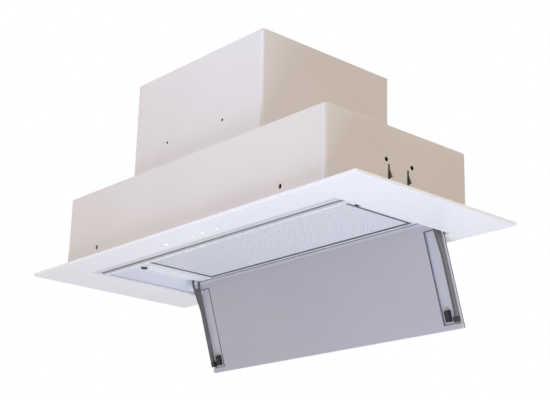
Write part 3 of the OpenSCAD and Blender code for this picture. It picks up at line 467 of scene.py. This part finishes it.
def cross_screw(bm, tip, axis, flip, head_r, head_h, shank_r, shank_l, recess):
    """A pan-head screw with a cross recess. tip is the middle of the head's top."""
    up = AXES[axis] * (-1 if flip else 1)
    tip = Vector(tip)
    side = AXES["y"] if axis == "x" else AXES["x"]
    across = up.cross(side)
    arm, half = head_r * 0.52, head_r * 0.16
    outline = [(arm, -half), (arm, half), (half, half), (half, arm), (-half, arm), (-half, half)]
    outline += [(-x, -y) for x, y in outline]

    def ring(points, drop):
        return [bm.verts.new(tip + side * x + across * y - up * drop) for x, y in points]

    def loop(verts):
        return [bm.edges.new((verts[i], verts[(i + 1) % len(verts)])) for i in range(len(verts))]

    before = set(bm.faces)
    inner = loop(ring(outline, 0.0))
    floor = loop(ring([(x * 0.72, y * 0.72) for x, y in outline], recess))
    bmesh.ops.bridge_loops(bm, edges=inner + floor)
    bmesh.ops.contextual_create(bm, geom=floor)
    # the rings' radii and depths, from the domed head down to the shank's tip
    levels = [(head_r * r, head_h * h) for r, h in ((0.66, 0), (0.86, 0.1), (0.97, 0.3), (1, 0.6), (1, 1))]
    levels += [(shank_r, head_h), (shank_r, head_h + shank_l * 0.9), (shank_r * 0.6, head_h + shank_l)]
    steps, last = 24, inner
    turns = [2 * pi * (i + 0.5) / steps for i in range(steps)]
    for radius, drop in levels:
        circle = loop(ring([(radius * cos(a), radius * sin(a)) for a in turns], drop))
        bmesh.ops.bridge_loops(bm, edges=last + circle)
        last = circle
    bmesh.ops.contextual_create(bm, geom=last)
    faces = [f for f in bm.faces if f not in before]
    bmesh.ops.recalc_face_normals(bm, faces=faces)
    for face in faces:
        face.smooth = len(face.verts) == 4 and face.calc_area() < (head_r * 0.5) ** 2


def islands(bm):
    """The boxes of a shape's separate solids, as (low, high) pairs from left to right."""
    left, found = set(bm.verts), []
    while left:
        todo, group = [left.pop()], []
        while todo:
            vert = todo.pop()
            group.append(vert.co.copy())
            near = [e.other_vert(vert) for e in vert.link_edges]
            new = [v for v in near if v in left]
            left.difference_update(new)
            todo.extend(new)
        low = Vector([min(c[i] for c in group) for i in range(3)])
        high = Vector([max(c[i] for c in group) for i in range(3)])
        found.append((low, high))
    return sorted(found, key=lambda box: tuple(box[0]))


def piece(name, bm, finishes, body, nodes=()):
    """Turns a finished shape into an object at the origin that rides on a body."""
    mesh = bpy.data.meshes.new(name)
    bm.to_mesh(mesh)
    bm.free()
    if not mesh.polygons:
        raise RuntimeError(f"{name} has no faces")
    for finish in finishes:
        mesh.materials.append(finish)
    # the imported normals go, and the wide flat faces keep their flat shading
    if "custom_normal" in mesh.attributes:
        mesh.attributes.remove(mesh.attributes["custom_normal"])
    smooth = [polygon.use_smooth for polygon in mesh.polygons]
    mesh.set_sharp_from_angle(angle=radians(50))
    mesh.polygons.foreach_set("use_smooth", smooth)
    made = bpy.data.objects.new(name, mesh)
    bpy.context.scene.collection.objects.link(made)
    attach(made, body)
    if nodes:
        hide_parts(*nodes)
    return made


def soft_copy(node, finish, radius, segments=2, pick=None, finishes=None, name=None):
    """A CAD node's merged copy with softened edges, in place of the node."""
    bm = solid_copy(node)
    round_edges(bm, sharp_edges(bm, pick), radius, segments)
    body = frame["nodes"][node]["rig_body"]
    return piece(name or node.replace("_", "-"), bm, finishes or [finish], body, [node])


class HoodStep(bpy.types.Operator):
    """What every building step shares"""

    bl_options = {"REGISTER", "UNDO"}


class HOOD_OT_housings(HoodStep):
    """Build the lower housing, the upper housing and the top plate with their rounded bends"""

    bl_idname = "hood.housings"
    bl_label = "Housings"

    def execute(self, context):
        sizes, colours = context.scene.hood_sizes, context.scene.hood_colours
        paint = powder_paint("housing-paint", colours.paint)
        for node in ("lower_housing", "upper_housing", "top_plate"):
            bm = solid_copy(node)
            low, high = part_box(node)
            # the outer bend and each sheet further in share one centre
            for layer in range(3):
                inset = layer * sizes.sheet
                edges = [e for e in bm.edges if self.upright(e, low, high, inset)]
                if edges:
                    round_edges(bm, edges, sizes.bend - inset, 6)
            if node != "upper_housing":
                top = sharp_edges(bm, lambda e: self.along_top(e, low, high))
                round_edges(bm, top, sizes.fold if node == "lower_housing" else sizes.fold * 0.6, 3)
            piece(node.replace("_", "-"), bm, [paint], "housing", [node])
        return {"FINISHED"}

    @staticmethod
    def upright(edge, low, high, inset):
        """Whether an edge is upright and at a corner of the box, set in by a distance."""
        a, b = (v.co for v in edge.verts)
        if (a.xy - b.xy).length > 1e-5:
            return False
        near = 2e-4
        near_x = min(abs(a.x - low.x - inset), abs(high.x - inset - a.x)) < near
        near_y = min(abs(a.y - low.y - inset), abs(high.y - inset - a.y)) < near
        return near_x and near_y

    @staticmethod
    def along_top(edge, low, high):
        """Whether an edge is at the top of the box and along its rim."""
        a, b = (v.co for v in edge.verts)
        rim = 0.004
        if min(a.z, b.z) < high.z - 1e-4:
            return False

        def outside(p):
            return min(p.x - low.x, high.x - p.x, p.y - low.y, high.y - p.y) < rim

        return outside(a) and outside(b)


class HOOD_OT_glass(HoodStep):
    """Build the glass flange, its seals, the grip rail and the touch marks"""

    bl_idname = "hood.glass"
    bl_label = "Glass and Rail"

    def execute(self, context):
        sizes, colours = context.scene.hood_sizes, context.scene.hood_colours
        white = painted_glass("flange-glass-white", colours.glass)
        edge = glass_edge("flange-glass-edge", colours.glass_edge)
        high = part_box("flange_glass")[1]
        bm = solid_copy("flange_glass")

        def outer(e):
            c = middle(e)
            return abs(c.x) > high.x - 1e-3 or abs(c.y) > high.y - 1e-3

        def cut(e):
            # the small holes of the touch windows stay sharp
            c = middle(e)
            at_marks = abs(c.x) < 0.09 and c.y < -0.135
            return not outer(e) and not at_marks

        paint_faces(bm, 1, lambda f: abs(f.normal.z) < 0.5)
        round_edges(bm, sharp_edges(bm, outer), sizes.arris, 2)
        round_edges(bm, sharp_edges(bm, cut), sizes.arris * 0.3, 1)
        piece("flange-glass", bm, [white, edge], "housing", ["flange_glass"])

        trim = powder_paint("rail-white", colours.trim, 0.26)
        # the sloped faces of the grip groove take a darker copy of the rail's white: painted shade in the
        # groove
        slope = powder_paint("rail-slope-painted-shade", shade(colours.trim, 0.88), 0.4)
        bm = solid_copy("grip_rail")
        paint_faces(bm, 1, lambda f: f.normal.z < -0.9 and 0.05 < f.normal.y < 0.5)
        round_edges(bm, sharp_edges(bm), 0.0007, 3)
        piece("grip-rail", bm, [trim, slope], "housing", ["grip_rail"])
        seal = rubber("seal-rubber", colours.black)
        soft_copy("grip_seal", rubber("rail-rubber", shade(colours.black, 4.0)), 0.0004)
        soft_copy("opening_seal", seal, 0.0002, 1)
        self.marks(context)
        return {"FINISHED"}

    def marks(self, context):
        """Five small lit signs: a broken ring, a dot, two and three dots, and a bar."""
        glow = glowing_mark("mark-glow", (0.93, 0.96, 1.0, 1.0), 1.0)
        base = painted_glass("mark-window", context.scene.hood_colours.glass)
        places = [(low + high) / 2 for low, high in islands(solid_copy("touch_marks"))]
        bm = solid_copy("touch_marks")
        low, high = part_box("touch_marks")
        depth, ring_in, ring_out, dot, pitch = 0.00012, 0.0024, 0.0031, 0.001, 0.0024
        # the window sits a little above the glass face, so that the lit signs end flush with it
        for vert in bm.verts:
            if vert.co.z < low.z + 1e-5:
                vert.co.z = low.z + depth
        bmesh.ops.recalc_face_normals(bm, faces=bm.faces)
        dots = bmesh.new()
        for i, place in enumerate(places):
            at = Vector((place.x, place.y, low.z + depth))
            if i == 0:
                # the ring of the power sign, and the bar that breaks it
                ring = [(ring_in, 0), (ring_in, depth), (ring_out, depth), (ring_out, 0), (ring_in, 0)]
                turned(dots, ring, at, flip=True, steps=28)
                block(dots, at + Vector((-0.0003, -0.0038, -depth)), at + Vector((0.0003, -0.0008, 0)))
            elif i == 4:
                block(dots, at + Vector((-0.0028, -0.0006, -depth)), at + Vector((0.0028, 0.0006, 0)))
            else:
                for k in range(i):
                    shift = (k - (i - 1) / 2) * pitch
                    disc = [(0, 0), (dot, 0), (dot, depth), (0, depth)]
                    turned(dots, disc, at + Vector((shift, 0, 0)), flip=True, steps=20)
        piece("touch-windows", bm, [base], "housing", ["touch_marks"])
        piece("touch-signs", dots, [glow], "housing")


class HOOD_OT_recess(HoodStep):
    """Build the liner tray, the filter, the light strips and the flap sensors"""

    bl_idname = "hood.recess"
    bl_label = "Recess, Filter and Lights"

    def execute(self, context):
        colours = context.scene.hood_colours
        trim = powder_paint("tray-white", shade(colours.trim, 1.03), 0.4)
        soft_copy("liner_tray", trim, 0.0003, 1)
        mesh = bright_steel("filter-aluminium", colours.mesh, 0.6, 0.0, 0.15)
        # the filter frame's dark grey is painted shade: it darkens the filter's edges, where their walls lie
        # in shade
        frame_shaded_metal = brushed_metal("filter-frame-painted-shade", (0.13, 0.13, 0.145, 1.0), 0.4, "x", 0.3)
        soft_copy("filter_frame", frame_shaded_metal, 0.0003, 2)
        # the core is a darker copy of the mesh's aluminium: painted shade behind the skin's holes
        soft_copy("filter_core", core_painted_shade("filter-core-painted-shade", shade(colours.mesh, 0.7)), 0.0006, 1)
        soft_copy("filter_latch", moulded("latch-plastic", (0.30, 0.31, 0.33, 1.0), 0.4), 0.0005, 3)
        self.skin(context, mesh)
        lens = frosted_lens("lens-frosted", (0.96, 0.98, 1.0, 1.0), 0.12)
        module = zinc_sheet("light-channel-zinc", colours.zinc)
        for side in ("left", "right"):
            soft_copy(f"{side}_light_lens", lens, 0.0005, 3)
            soft_copy(f"{side}_light_module", module, 0.0005, 2)
        self.sensors()
        self.gasket()
        return {"FINISHED"}

    def gasket(self):
        """A grey foam strip along the rear of the recess ceiling, behind the filter."""
        half, front, rear, thick = 0.31, 0.1254, 0.1445, 0.0006
        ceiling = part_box("filter_frame")[0].z
        bm = bmesh.new()
        block(bm, (-half, front, ceiling - thick), (half, rear, ceiling))
        round_edges(bm, sharp_edges(bm), thick / 3, 2)
        grey = powder_paint("gasket-foam", (0.80, 0.80, 0.84, 1.0), 0.6)
        piece("rear-gasket", bm, [grey], "housing")

    def skin(self, context, finish):
        """The perforated skin: a turned grid of cells, each with its hole, cut to the filter's outline."""
        sizes = context.scene.hood_sizes
        low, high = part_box("filter_skin")
        latch_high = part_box("filter_latch")[1]
        bm = bmesh.new()
        half = (high.x - low.x + high.y - low.y) / 2 / 2**0.5
        count = 2 * int(half / sizes.cell + 2)
        bmesh.ops.create_grid(bm, x_segments=count, y_segments=count, size=count * sizes.cell / 2)
        bmesh.ops.rotate(bm, verts=bm.verts, cent=(0, 0, 0), matrix=Matrix.Rotation(pi / 4, 3, "Z"))
        bmesh.ops.translate(bm, vec=(0, (low.y + high.y) / 2, low.z), verts=bm.verts)

        def cut(geom, place, normal, drop):
            plane = {"plane_co": place, "plane_no": normal, "clear_outer": drop}
            bmesh.ops.bisect_plane(bm, geom=geom, dist=MERGE, **plane)

        for place, outward in ((low, (-1, 0, 0)), (high, (1, 0, 0)), (low, (0, -1, 0)), (high, (0, 1, 0))):
            cut(bm.verts[:] + bm.edges[:] + bm.faces[:], place, outward, True)
        # the latch has its own clear space at the front
        reach_x, reach_y = latch_high.x + 0.0008, latch_high.y + 0.004
        sides = (((-reach_x, 0, 0), (-1, 0, 0)), ((reach_x, 0, 0), (1, 0, 0)), ((0, reach_y, 0), (0, 1, 0)))
        for place, outward in sides:
            near = [f for f in bm.faces if self.beside(f, reach_x + sizes.cell, reach_y + sizes.cell)]
            edges = dict.fromkeys(e for f in near for e in f.edges)
            cut([*near, *corners(near), *edges], place, outward, False)
        clear = [f for f in bm.faces if self.beside(f, reach_x, reach_y)]
        bmesh.ops.delete(bm, geom=clear, context="FACES")
        # only whole cells get a hole; the cut ones along the outline stay closed
        whole = [f for f in bm.faces if len(f.verts) == 4 and f.calc_area() > sizes.cell**2 * 0.95]
        bmesh.ops.inset_individual(bm, faces=whole, thickness=sizes.web, use_even_offset=True)
        bmesh.ops.delete(bm, geom=whole, context="FACES")
        bmesh.ops.remove_doubles(bm, verts=bm.verts, dist=MERGE)
        bmesh.ops.recalc_face_normals(bm, faces=bm.faces)
        if sum(f.normal.z for f in bm.faces) > 0:
            bmesh.ops.reverse_faces(bm, faces=bm.faces)
        bmesh.ops.solidify(bm, geom=bm.faces[:], thickness=-(high.z - low.z))
        lowest = min(v.co.z for v in bm.verts)
        bmesh.ops.translate(bm, vec=(0, 0, low.z - lowest), verts=bm.verts)
        bmesh.ops.recalc_face_normals(bm, faces=bm.faces)
        piece("filter-skin", bm, [finish], "housing", ["filter_skin"])

    @staticmethod
    def beside(face, reach_x, reach_y):
        """Whether a face of the skin lies in the latch's corner of the grid."""
        place = face.calc_center_median()
        return abs(place.x) < reach_x and place.y < reach_y

    def sensors(self):
        """Dark round sensors, each with a ring and a small domed window."""
        dome = 0.0006
        bm = bmesh.new()
        for low, high in islands(solid_copy("flap_sensors")):
            radius, tall = (high.x - low.x) / 2, high.z - low.z
            foot = Vector(((low.x + high.x) / 2, (low.y + high.y) / 2, high.z))
            window, well = radius * 0.55, tall - 0.0007
            outline = [(0, 0), (radius, 0)] + rounded_step(radius, tall, dome)
            outline += [(radius * 0.72, tall), (radius * 0.68, well), (window, well)]
            outline += [(window * cos(a), well + dome * sin(a)) for a in (0.3, 0.7, 1.1)]
            outline += [(0, well + dome)]
            turned(bm, outline, foot, flip=True, steps=40)
        dark = moulded("sensor-window", (0.03, 0.03, 0.035, 1.0), 0.18, 900.0)
        piece("flap-sensors", bm, [dark], "housing", ["flap_sensors"])


class HOOD_OT_flap(HoodStep):
    """Build the flap: its glass, its inner panel with a painted shadow strip round its pockets, the arms,
    caps, bumpers and hinges
    """

    bl_idname = "hood.flap"
    bl_label = "Flap and Arms"

    def execute(self, context):
        sizes, colours = context.scene.hood_sizes, context.scene.hood_colours
        white = painted_glass("flap-glass-white", colours.glass)
        edge = glass_edge("flap-glass-edge", colours.flap_edge)
        bm = solid_copy("flap_glass")
        paint_faces(bm, 1, lambda f: abs(f.normal.dot(FLAP_OUT)) < 0.5)
        round_edges(bm, sharp_edges(bm), sizes.arris * 0.7, 2)
        piece("flap-glass", bm, [white, edge], "flap", ["flap_glass"])

        panel = satin_panel("flap-panel-satin", colours.panel)
        floor = satin_panel("pocket-floor-satin", colours.pocket, 0.4)
        # the panel's side faces take a copy of its colour a quarter lighter: painted highlight along the
        # flap's edges
        side = satin_panel("panel-side-painted-highlight", shade(colours.panel, 1.25), 0.4)
        bm = solid_copy("flap_inner_panel")
        face_level = max((v.co - HINGE).dot(FLAP_OUT) for v in bm.verts)
        half = max(v.co.x for v in bm.verts)

        def is_floor(f):
            level = (f.calc_center_median() - HINGE).dot(FLAP_OUT)
            return f.normal.dot(FLAP_OUT) > 0.9 and level < face_level - 0.002

        paint_faces(bm, 1, is_floor)
        paint_faces(bm, 2, lambda f: abs(f.normal.x) > 0.9 and abs(f.calc_center_median().x) > half - 0.001)
        round_edges(bm, sharp_edges(bm), 0.0004, 2)
        piece("flap-inner-panel", bm, [panel, floor, side], "flap", ["flap_inner_panel"])
        self.pocket_shade_strip(context, face_level)
        self.lip(face_level)

        # the arms' front faces take the dark steel, partly painted shade, and their sideways faces a copy
        # twice as light: painted light
        steel = brushed_metal("arm-steel-shaded-front", colours.arm, 0.42, "z", 0.3)
        lit_flank = brushed_metal("arm-steel-lit-side", shade(colours.arm, 2.0), 0.42, "z", 0.3)
        for arm in ("left_arm", "right_arm"):
            bm = solid_copy(arm)
            paint_faces(bm, 1, lambda f: abs(f.normal.x) > 0.9)
            round_edges(bm, sharp_edges(bm), 0.0008, 3)
            piece(arm.replace("_", "-"), bm, [steel, lit_flank], "flap", [arm])
        soft_copy("eye_bushes", moulded("bush-plastic", (0.72, 0.74, 0.79, 1.0), 0.35), 0.0004, 2)
        black = moulded("cap-plastic", colours.black, 0.38)
        soft_copy("arm_caps", black, 0.0012, 3)
        soft_copy("flap_bumpers", rubber("bumper-rubber", colours.black), 0.001, 3)
        bright = bright_steel("hinge-steel")
        soft_copy("hinge_pins", bright, 0.0004, 2)
        bracket = powder_paint("bracket-white", colours.trim, 0.35)
        for node in ("left_hinge_bracket", "right_hinge_bracket"):
            soft_copy(node, bracket, 0.0005, 2)
        return {"FINISHED"}

    def lip(self, face_level):
        """A soft grey lip along the panel's hinge edge, which closes the gap to the recess; its mid grey is
        painted shade of the shaded rear of the recess.
        """
        half, foot, tip, thick = 0.3205, 0.0019, 0.0076, 0.0015
        bm = bmesh.new()
        block(bm, (-half, foot, face_level - thick), (half, tip, face_level))
        round_edges(bm, sharp_edges(bm), thick / 3, 3)
        turn = Matrix((AXES["x"], FLAP_UP, FLAP_OUT)).transposed().to_4x4()
        bmesh.ops.transform(bm, matrix=Matrix.Translation(HINGE) @ turn, verts=bm.verts)
        # the lip's grey is painted shade in the gap above the flap's hinge edge
        soft = satin_panel("hinge-lip-painted-shade", (0.56, 0.56, 0.61, 1.0), 0.45)
        piece("hinge-lip", bm, [soft], "flap")

    def pocket_shade_strip(self, context, face_level):
        """A dark lip round the top and the inner side of each arm pocket, on the panel's edge; its dark is
        painted shadow of the panel's step over the pocket.
        """
        width = context.scene.hood_sizes.trim
        inner, outer, high, low = 0.296, 0.3195, -0.0099, -0.1729
        level, rise = face_level - 0.0009, 0.0014

        def at(x, y, z):
            return Vector((x, 0, 0)) + HINGE + FLAP_UP * y + FLAP_OUT * z

        path = [(outer, high), (outer, high + width), (inner - width, high + width), (inner - width, low)]
        path += [(inner, low), (inner, high)]
        bm = bmesh.new()
        face = bm.faces.new([bm.verts.new(at(x, y, level)) for x, y in path])
        grown = bmesh.ops.extrude_face_region(bm, geom=[face])["geom"]
        verts = [v for v in grown if isinstance(v, bmesh.types.BMVert)]
        bmesh.ops.translate(bm, vec=FLAP_OUT * rise, verts=verts)
        bmesh.ops.recalc_face_normals(bm, faces=bm.faces)
        bmesh.ops.bevel(
            bm,
            geom=sharp_edges(bm),
            offset=0.0001,
            offset_type="OFFSET",
            segments=2,
            profile=0.5,
            affect="EDGES",
            material=-1,
        )
        mirrored(bm)
        # the strip's near-black is painted shadow along the pockets' edges
        dark = rubber("pocket-shadow-rubber", shade(context.scene.hood_colours.black, 3.6))
        piece("pocket-shadow-strip", bm, [dark], "flap")


class HOOD_OT_clips(HoodStep):
    """Build the sprung side clips and the plates that hold them"""

    bl_idname = "hood.clips"
    bl_label = "Side Clips"

    def execute(self, context):
        spring = brushed_metal("clip-steel", context.scene.hood_colours.spring, 0.38, "z", 0.7)
        for side in ("left", "right"):
            soft_copy(f"{side}_spring_clip", spring, 0.0002, 1)
            soft_copy(f"{side}_clip_plate", spring, 0.0003, 1)
        return {"FINISHED"}


class HOOD_OT_duct(HoodStep):
    """Build the duct collar with its two dampers and their pin, and the cable gland"""

    bl_idname = "hood.duct"
    bl_label = "Duct Collar and Gland"

    def execute(self, context):
        colours = context.scene.hood_colours
        black = moulded("collar-plastic", shade(colours.black, 1.4), 0.42, 1100.0)
        soft_copy("duct_collar", black, 0.0005, 2)
        damper = brushed_metal("damper-aluminium", (0.62, 0.63, 0.65, 1.0), 0.36, "x", 0.9)
        for node in ("front_damper", "rear_damper"):
            soft_copy(node, damper, 0.0003, 1)
        soft_copy("damper_pin", bright_steel("damper-pin-steel"), 0.0004, 2)
        self.gland(context)
        return {"FINISHED"}

    def gland(self, context):
        """A cable gland: a hexagon nut above and below the plate, and a dome nut with the cable's hole."""
        low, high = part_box("cable_gland")
        middle_x, middle_y = (low.x + high.x) / 2, (low.y + high.y) / 2
        top_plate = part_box("top_plate")[1].z
        bm = bmesh.new()
        foot = Vector((middle_x, middle_y, low.z))
        tall = high.z - low.z
        bore, body, grip, nut, bevel = 0.0045, 0.008, 0.011, 0.012, 0.0005
        neck, shoulder = tall - 0.008, tall - 0.003
        outline = [(bore, 0), (body, 0), (body, neck), (grip, neck + bevel), (grip, shoulder)]
        turns = (0.3, 0.6, 0.9, 1.2, pi / 2)
        outline += [(bore + 0.0015 + 0.005 * cos(a), shoulder + 0.003 * sin(a)) for a in turns]
        outline += [(bore, tall - 0.0006), (bore, 0)]
        turned(bm, outline, foot, steps=36)
        for start, end in ((top_plate, top_plate + 0.006), (top_plate - 0.0062, top_plate - 0.0012)):
            at = Vector((middle_x, middle_y, start))
            thick = end - start
            ring = [(body, 0), (nut - bevel, 0), (nut, bevel), (nut, thick - bevel)]
            ring += [(nut - bevel, thick), (body, thick), (body, 0)]
            for face in turned(bm, ring, at, steps=6):
                face.smooth = False
        plastic = moulded("gland-plastic", shade(context.scene.hood_colours.black, 1.8), 0.5)
        piece("cable-gland", bm, [plastic], "housing", ["cable_gland"])


class HOOD_OT_screws(HoodStep):
    """Build the screws with pan heads and cross recesses"""

    bl_idname = "hood.screws"
    bl_label = "Screws"

    def execute(self, context):
        recess = context.scene.hood_sizes.recess
        steel = bright_steel("screw-steel", (0.64, 0.64, 0.66, 1.0), 0.26)
        # node: axis, whether the head points down the axis, head height
        kinds = {
            "frame_screws": ("y", False, 0.0015),
            "collar_screws": ("z", False, 0.002),
            "seam_screws": ("z", True, 0.002),
            "scroll_screws": ("x", False, 0.002),
            "motor_screws": ("x", False, 0.002),
            "hinge_screws": ("z", False, 0.0015),
        }
        for node, (axis, flip, head_h) in kinds.items():
            index = "xyz".index(axis)
            others = [i for i in range(3) if i != index]
            bm = bmesh.new()
            for low, high in islands(solid_copy(node)):
                tip = (low + high) / 2
                tip[index] = low[index] if flip else high[index]
                head_r = (high[others[0]] - low[others[0]]) / 2
                shank_l = high[index] - low[index] - head_h
                cross_screw(bm, tip, axis, flip, head_r, head_h, head_r * 0.5, shank_l, recess)
            piece(node.replace("_", "-"), bm, [steel], "housing", [node])
        return {"FINISHED"}


class HOOD_OT_inside(HoodStep):
    """Finish the parts inside: blower, motor, frame, control box and leads"""

    bl_idname = "hood.inside"
    bl_label = "Inner Parts"

    def execute(self, context):
        colours = context.scene.hood_colours
        zinc = zinc_sheet("inner-zinc", colours.zinc)
        white = moulded("inner-white-plastic", (0.74, 0.75, 0.77, 1.0), 0.45)
        board = board_lacquer("board-lacquer")
        fan = brushed_metal("fan-steel", (0.55, 0.56, 0.58, 1.0), 0.4, "x", 0.85)
        case = brushed_metal("motor-case", (0.50, 0.51, 0.53, 1.0), 0.42, "x", 0.9)
        finishes = {
            "bottom_frame": (zinc, 0.0004),
            "left_scroll_half": (zinc, 0.0004),
            "right_scroll_half": (zinc, 0.0004),
            "motor_bracket": (zinc, 0.0004),
            "motor": (case, 0.0015),
            "motor_shaft": (bright_steel("shaft-steel"), 0.0005),
            "motor_grommets": (rubber("grommet-rubber", colours.black), 0.0005),
            "impeller": (fan, 0.0002),
            "touch_board": (board, 0.0003),
            "touch_cover": (white, 0.0006),
            "control_box": (zinc_sheet("box-zinc", shade(colours.zinc, 1.1)), 0.0005),
            "control_box_lid": (zinc_sheet("lid-zinc", shade(colours.zinc, 1.1)), 0.0005),
            "power_board": (board, 0.0003),
            "capacitor": (moulded("capacitor-case", (0.28, 0.29, 0.31, 1.0), 0.3), 0.0015),
            "terminal_block": (moulded("terminal-plastic", (0.80, 0.78, 0.70, 1.0), 0.4), 0.0006),
        }
        names = {"motor": "fan-motor", "impeller": "fan-wheel", "capacitor": "run-capacitor"}
        for node, (finish, radius) in finishes.items():
            soft_copy(node, finish, radius, 1 if node == "impeller" else 2, name=names.get(node))
        for node, name in (("motor_lead", "motor-lead-sleeve"), ("touch_lead", "touch-lead-sleeve")):
            bm = solid_copy(node)
            piece(node.replace("_", "-"), bm, [rubber(name, shade(colours.black, 1.5))], "housing", [node])
        return {"FINISHED"}


class HOOD_OT_stage(HoodStep):
    """Set up the floor, the plain light and the camera"""

    bl_idname = "hood.stage"
    bl_label = "Stage"

    def execute(self, context):
        self.floor()
        self.world(context)
        for name, settings in LAMPS.items():
            self.lamp(name, *settings)
        self.camera(context)
        return {"FINISHED"}

    def floor(self):
        level, reach, whiteness = -6.5, 17.7, 0.62
        bm = bmesh.new()
        bmesh.ops.create_circle(bm, cap_ends=True, radius=reach, segments=128)
        bmesh.ops.translate(bm, vec=(0, 0, level), verts=bm.verts)
        mesh = bpy.data.meshes.new("floor")
        bm.to_mesh(mesh)
        bm.free()
        f = Finish("floor-paper", Specular_IOR_Level=0.2, Roughness=0.8)
        cloud = f.noise(0.7, 3.0)
        f.put("Base Color", f.between(cloud, (0.84, 0.84, 0.85, 1.0), (0.87, 0.87, 0.88, 1.0)))
        # what is seen of the floor is paler than what it gives back to the object
        white = f.tree.nodes.new("ShaderNodeEmission")
        mixed = f.tree.nodes.new("ShaderNodeMixShader")
        f.tree.links.new(f.math("MULTIPLY", self.seen(f.tree), whiteness), mixed.inputs[0])
        f.tree.links.new(f.shader.outputs[0], mixed.inputs[1])
        f.tree.links.new(white.outputs[0], mixed.inputs[2])
        f.tree.links.new(mixed.outputs[0], f.tree.nodes["Material Output"].inputs["Surface"])
        mesh.materials.append(f.material)
        floor = bpy.data.objects.new("floor", mesh)
        bpy.context.scene.collection.objects.link(floor)

    @staticmethod
    def seen(tree):
        """1 for rays from the camera, from gloss and through glass, 0 for the light on the object."""
        rays = tree.nodes.new("ShaderNodeLightPath")
        seen = rays.outputs["Is Camera Ray"]
        for other in ("Is Glossy Ray", "Is Transmission Ray"):
            either = tree.nodes.new("ShaderNodeMath")
            either.operation = "MAXIMUM"
            tree.links.new(seen, either.inputs[0])
            tree.links.new(rays.outputs[other], either.inputs[1])
            seen = either.outputs[0]
        return seen

    def world(self, context):
        """Warm room light on the object, plain white for what the camera and the reflections see."""
        world = bpy.data.worlds.new("room")
        world.use_nodes = True
        context.scene.world = world
        nodes, links = world.node_tree.nodes, world.node_tree.links
        room = nodes["Background"]
        room.inputs["Color"].default_value = ROOM_LIGHT
        white = nodes.new("ShaderNodeBackground")
        white.inputs["Color"].default_value = (1.0, 1.0, 1.0, 1.0)
        mixed = nodes.new("ShaderNodeMixShader")
        links.new(self.seen(world.node_tree), mixed.inputs[0])
        links.new(room.outputs[0], mixed.inputs[1])
        links.new(white.outputs[0], mixed.inputs[2])
        links.new(mixed.outputs[0], nodes["World Output"].inputs["Surface"])

    def lamp(self, name, place, target, size, rgb, power):
        light = bpy.data.lights.new(name, "AREA")
        light.shape = "DISK"
        light.size = size
        light.color = rgb
        light.energy = power
        lamp = bpy.data.objects.new(name, light)
        lamp.visible_camera = False
        lamp.location = place
        aim = Vector(target) - Vector(place)
        lamp.rotation_mode = "QUATERNION"
        lamp.rotation_quaternion = aim.to_track_quat("-Z", "Y")
        bpy.context.scene.collection.objects.link(lamp)

    def camera(self, context):
        """The camera looks up from the front right, and leans a little to one side."""
        level = cos(CAMERA_ELEVATION)
        back = Vector((sin(CAMERA_AZIMUTH) * level, -cos(CAMERA_AZIMUTH) * level, sin(CAMERA_ELEVATION)))
        right = (-back).cross(Vector((0, 0, 1))).normalized()
        down = (-back).cross(right)
        right_turned = right * cos(CAMERA_ROLL) + down * sin(CAMERA_ROLL)
        down_turned = down * cos(CAMERA_ROLL) - right * sin(CAMERA_ROLL)
        data = bpy.data.cameras.new("camera")
        data.sensor_width = CAMERA_SENSOR
        data.lens = CAMERA_LENS
        data.clip_start, data.clip_end = 0.05, 60.0
        camera = bpy.data.objects.new("camera", data)
        turn = Matrix((right_turned, -down_turned, back)).transposed().to_4x4()
        camera.matrix_world = Matrix.Translation(CAMERA_PLACE) @ turn
        context.scene.collection.objects.link(camera)
        context.scene.camera = camera
        context.scene.view_settings.view_transform = "Standard"


STEPS = (
    HOOD_OT_housings,
    HOOD_OT_glass,
    HOOD_OT_recess,
    HOOD_OT_flap,
    HOOD_OT_clips,
    HOOD_OT_duct,
    HOOD_OT_screws,
    HOOD_OT_inside,
    HOOD_OT_stage,
)


class HOOD_PT_panel(bpy.types.Panel):
    """Lists the sizes, the colours and the building steps"""

    bl_idname = "HOOD_PT_panel"
    bl_label = "Range Hood"
    bl_space_type = "VIEW_3D"
    bl_region_type = "UI"
    bl_category = "Range Hood"

    def draw(self, context):
        for group in (context.scene.hood_sizes, context.scene.hood_colours):
            box = self.layout.box()
            for key in group.__annotations__:
                box.prop(group, key)
        for step in STEPS:
            self.layout.operator(step.bl_idname)


CLASSES = (HoodSizes, HoodColours, *STEPS, HOOD_PT_panel)


def register():
    for each in CLASSES:
        bpy.utils.register_class(each)
    bpy.types.Scene.hood_sizes = PointerProperty(type=HoodSizes)
    bpy.types.Scene.hood_colours = PointerProperty(type=HoodColours)


def unregister():
    del bpy.types.Scene.hood_colours
    del bpy.types.Scene.hood_sizes
    for each in reversed(CLASSES):
        bpy.utils.unregister_class(each)


def main():
    register()
    for step in STEPS:
        group, name = step.bl_idname.split(".")
        getattr(getattr(bpy.ops, group), name)()


if __name__ == "__main__":
    main()
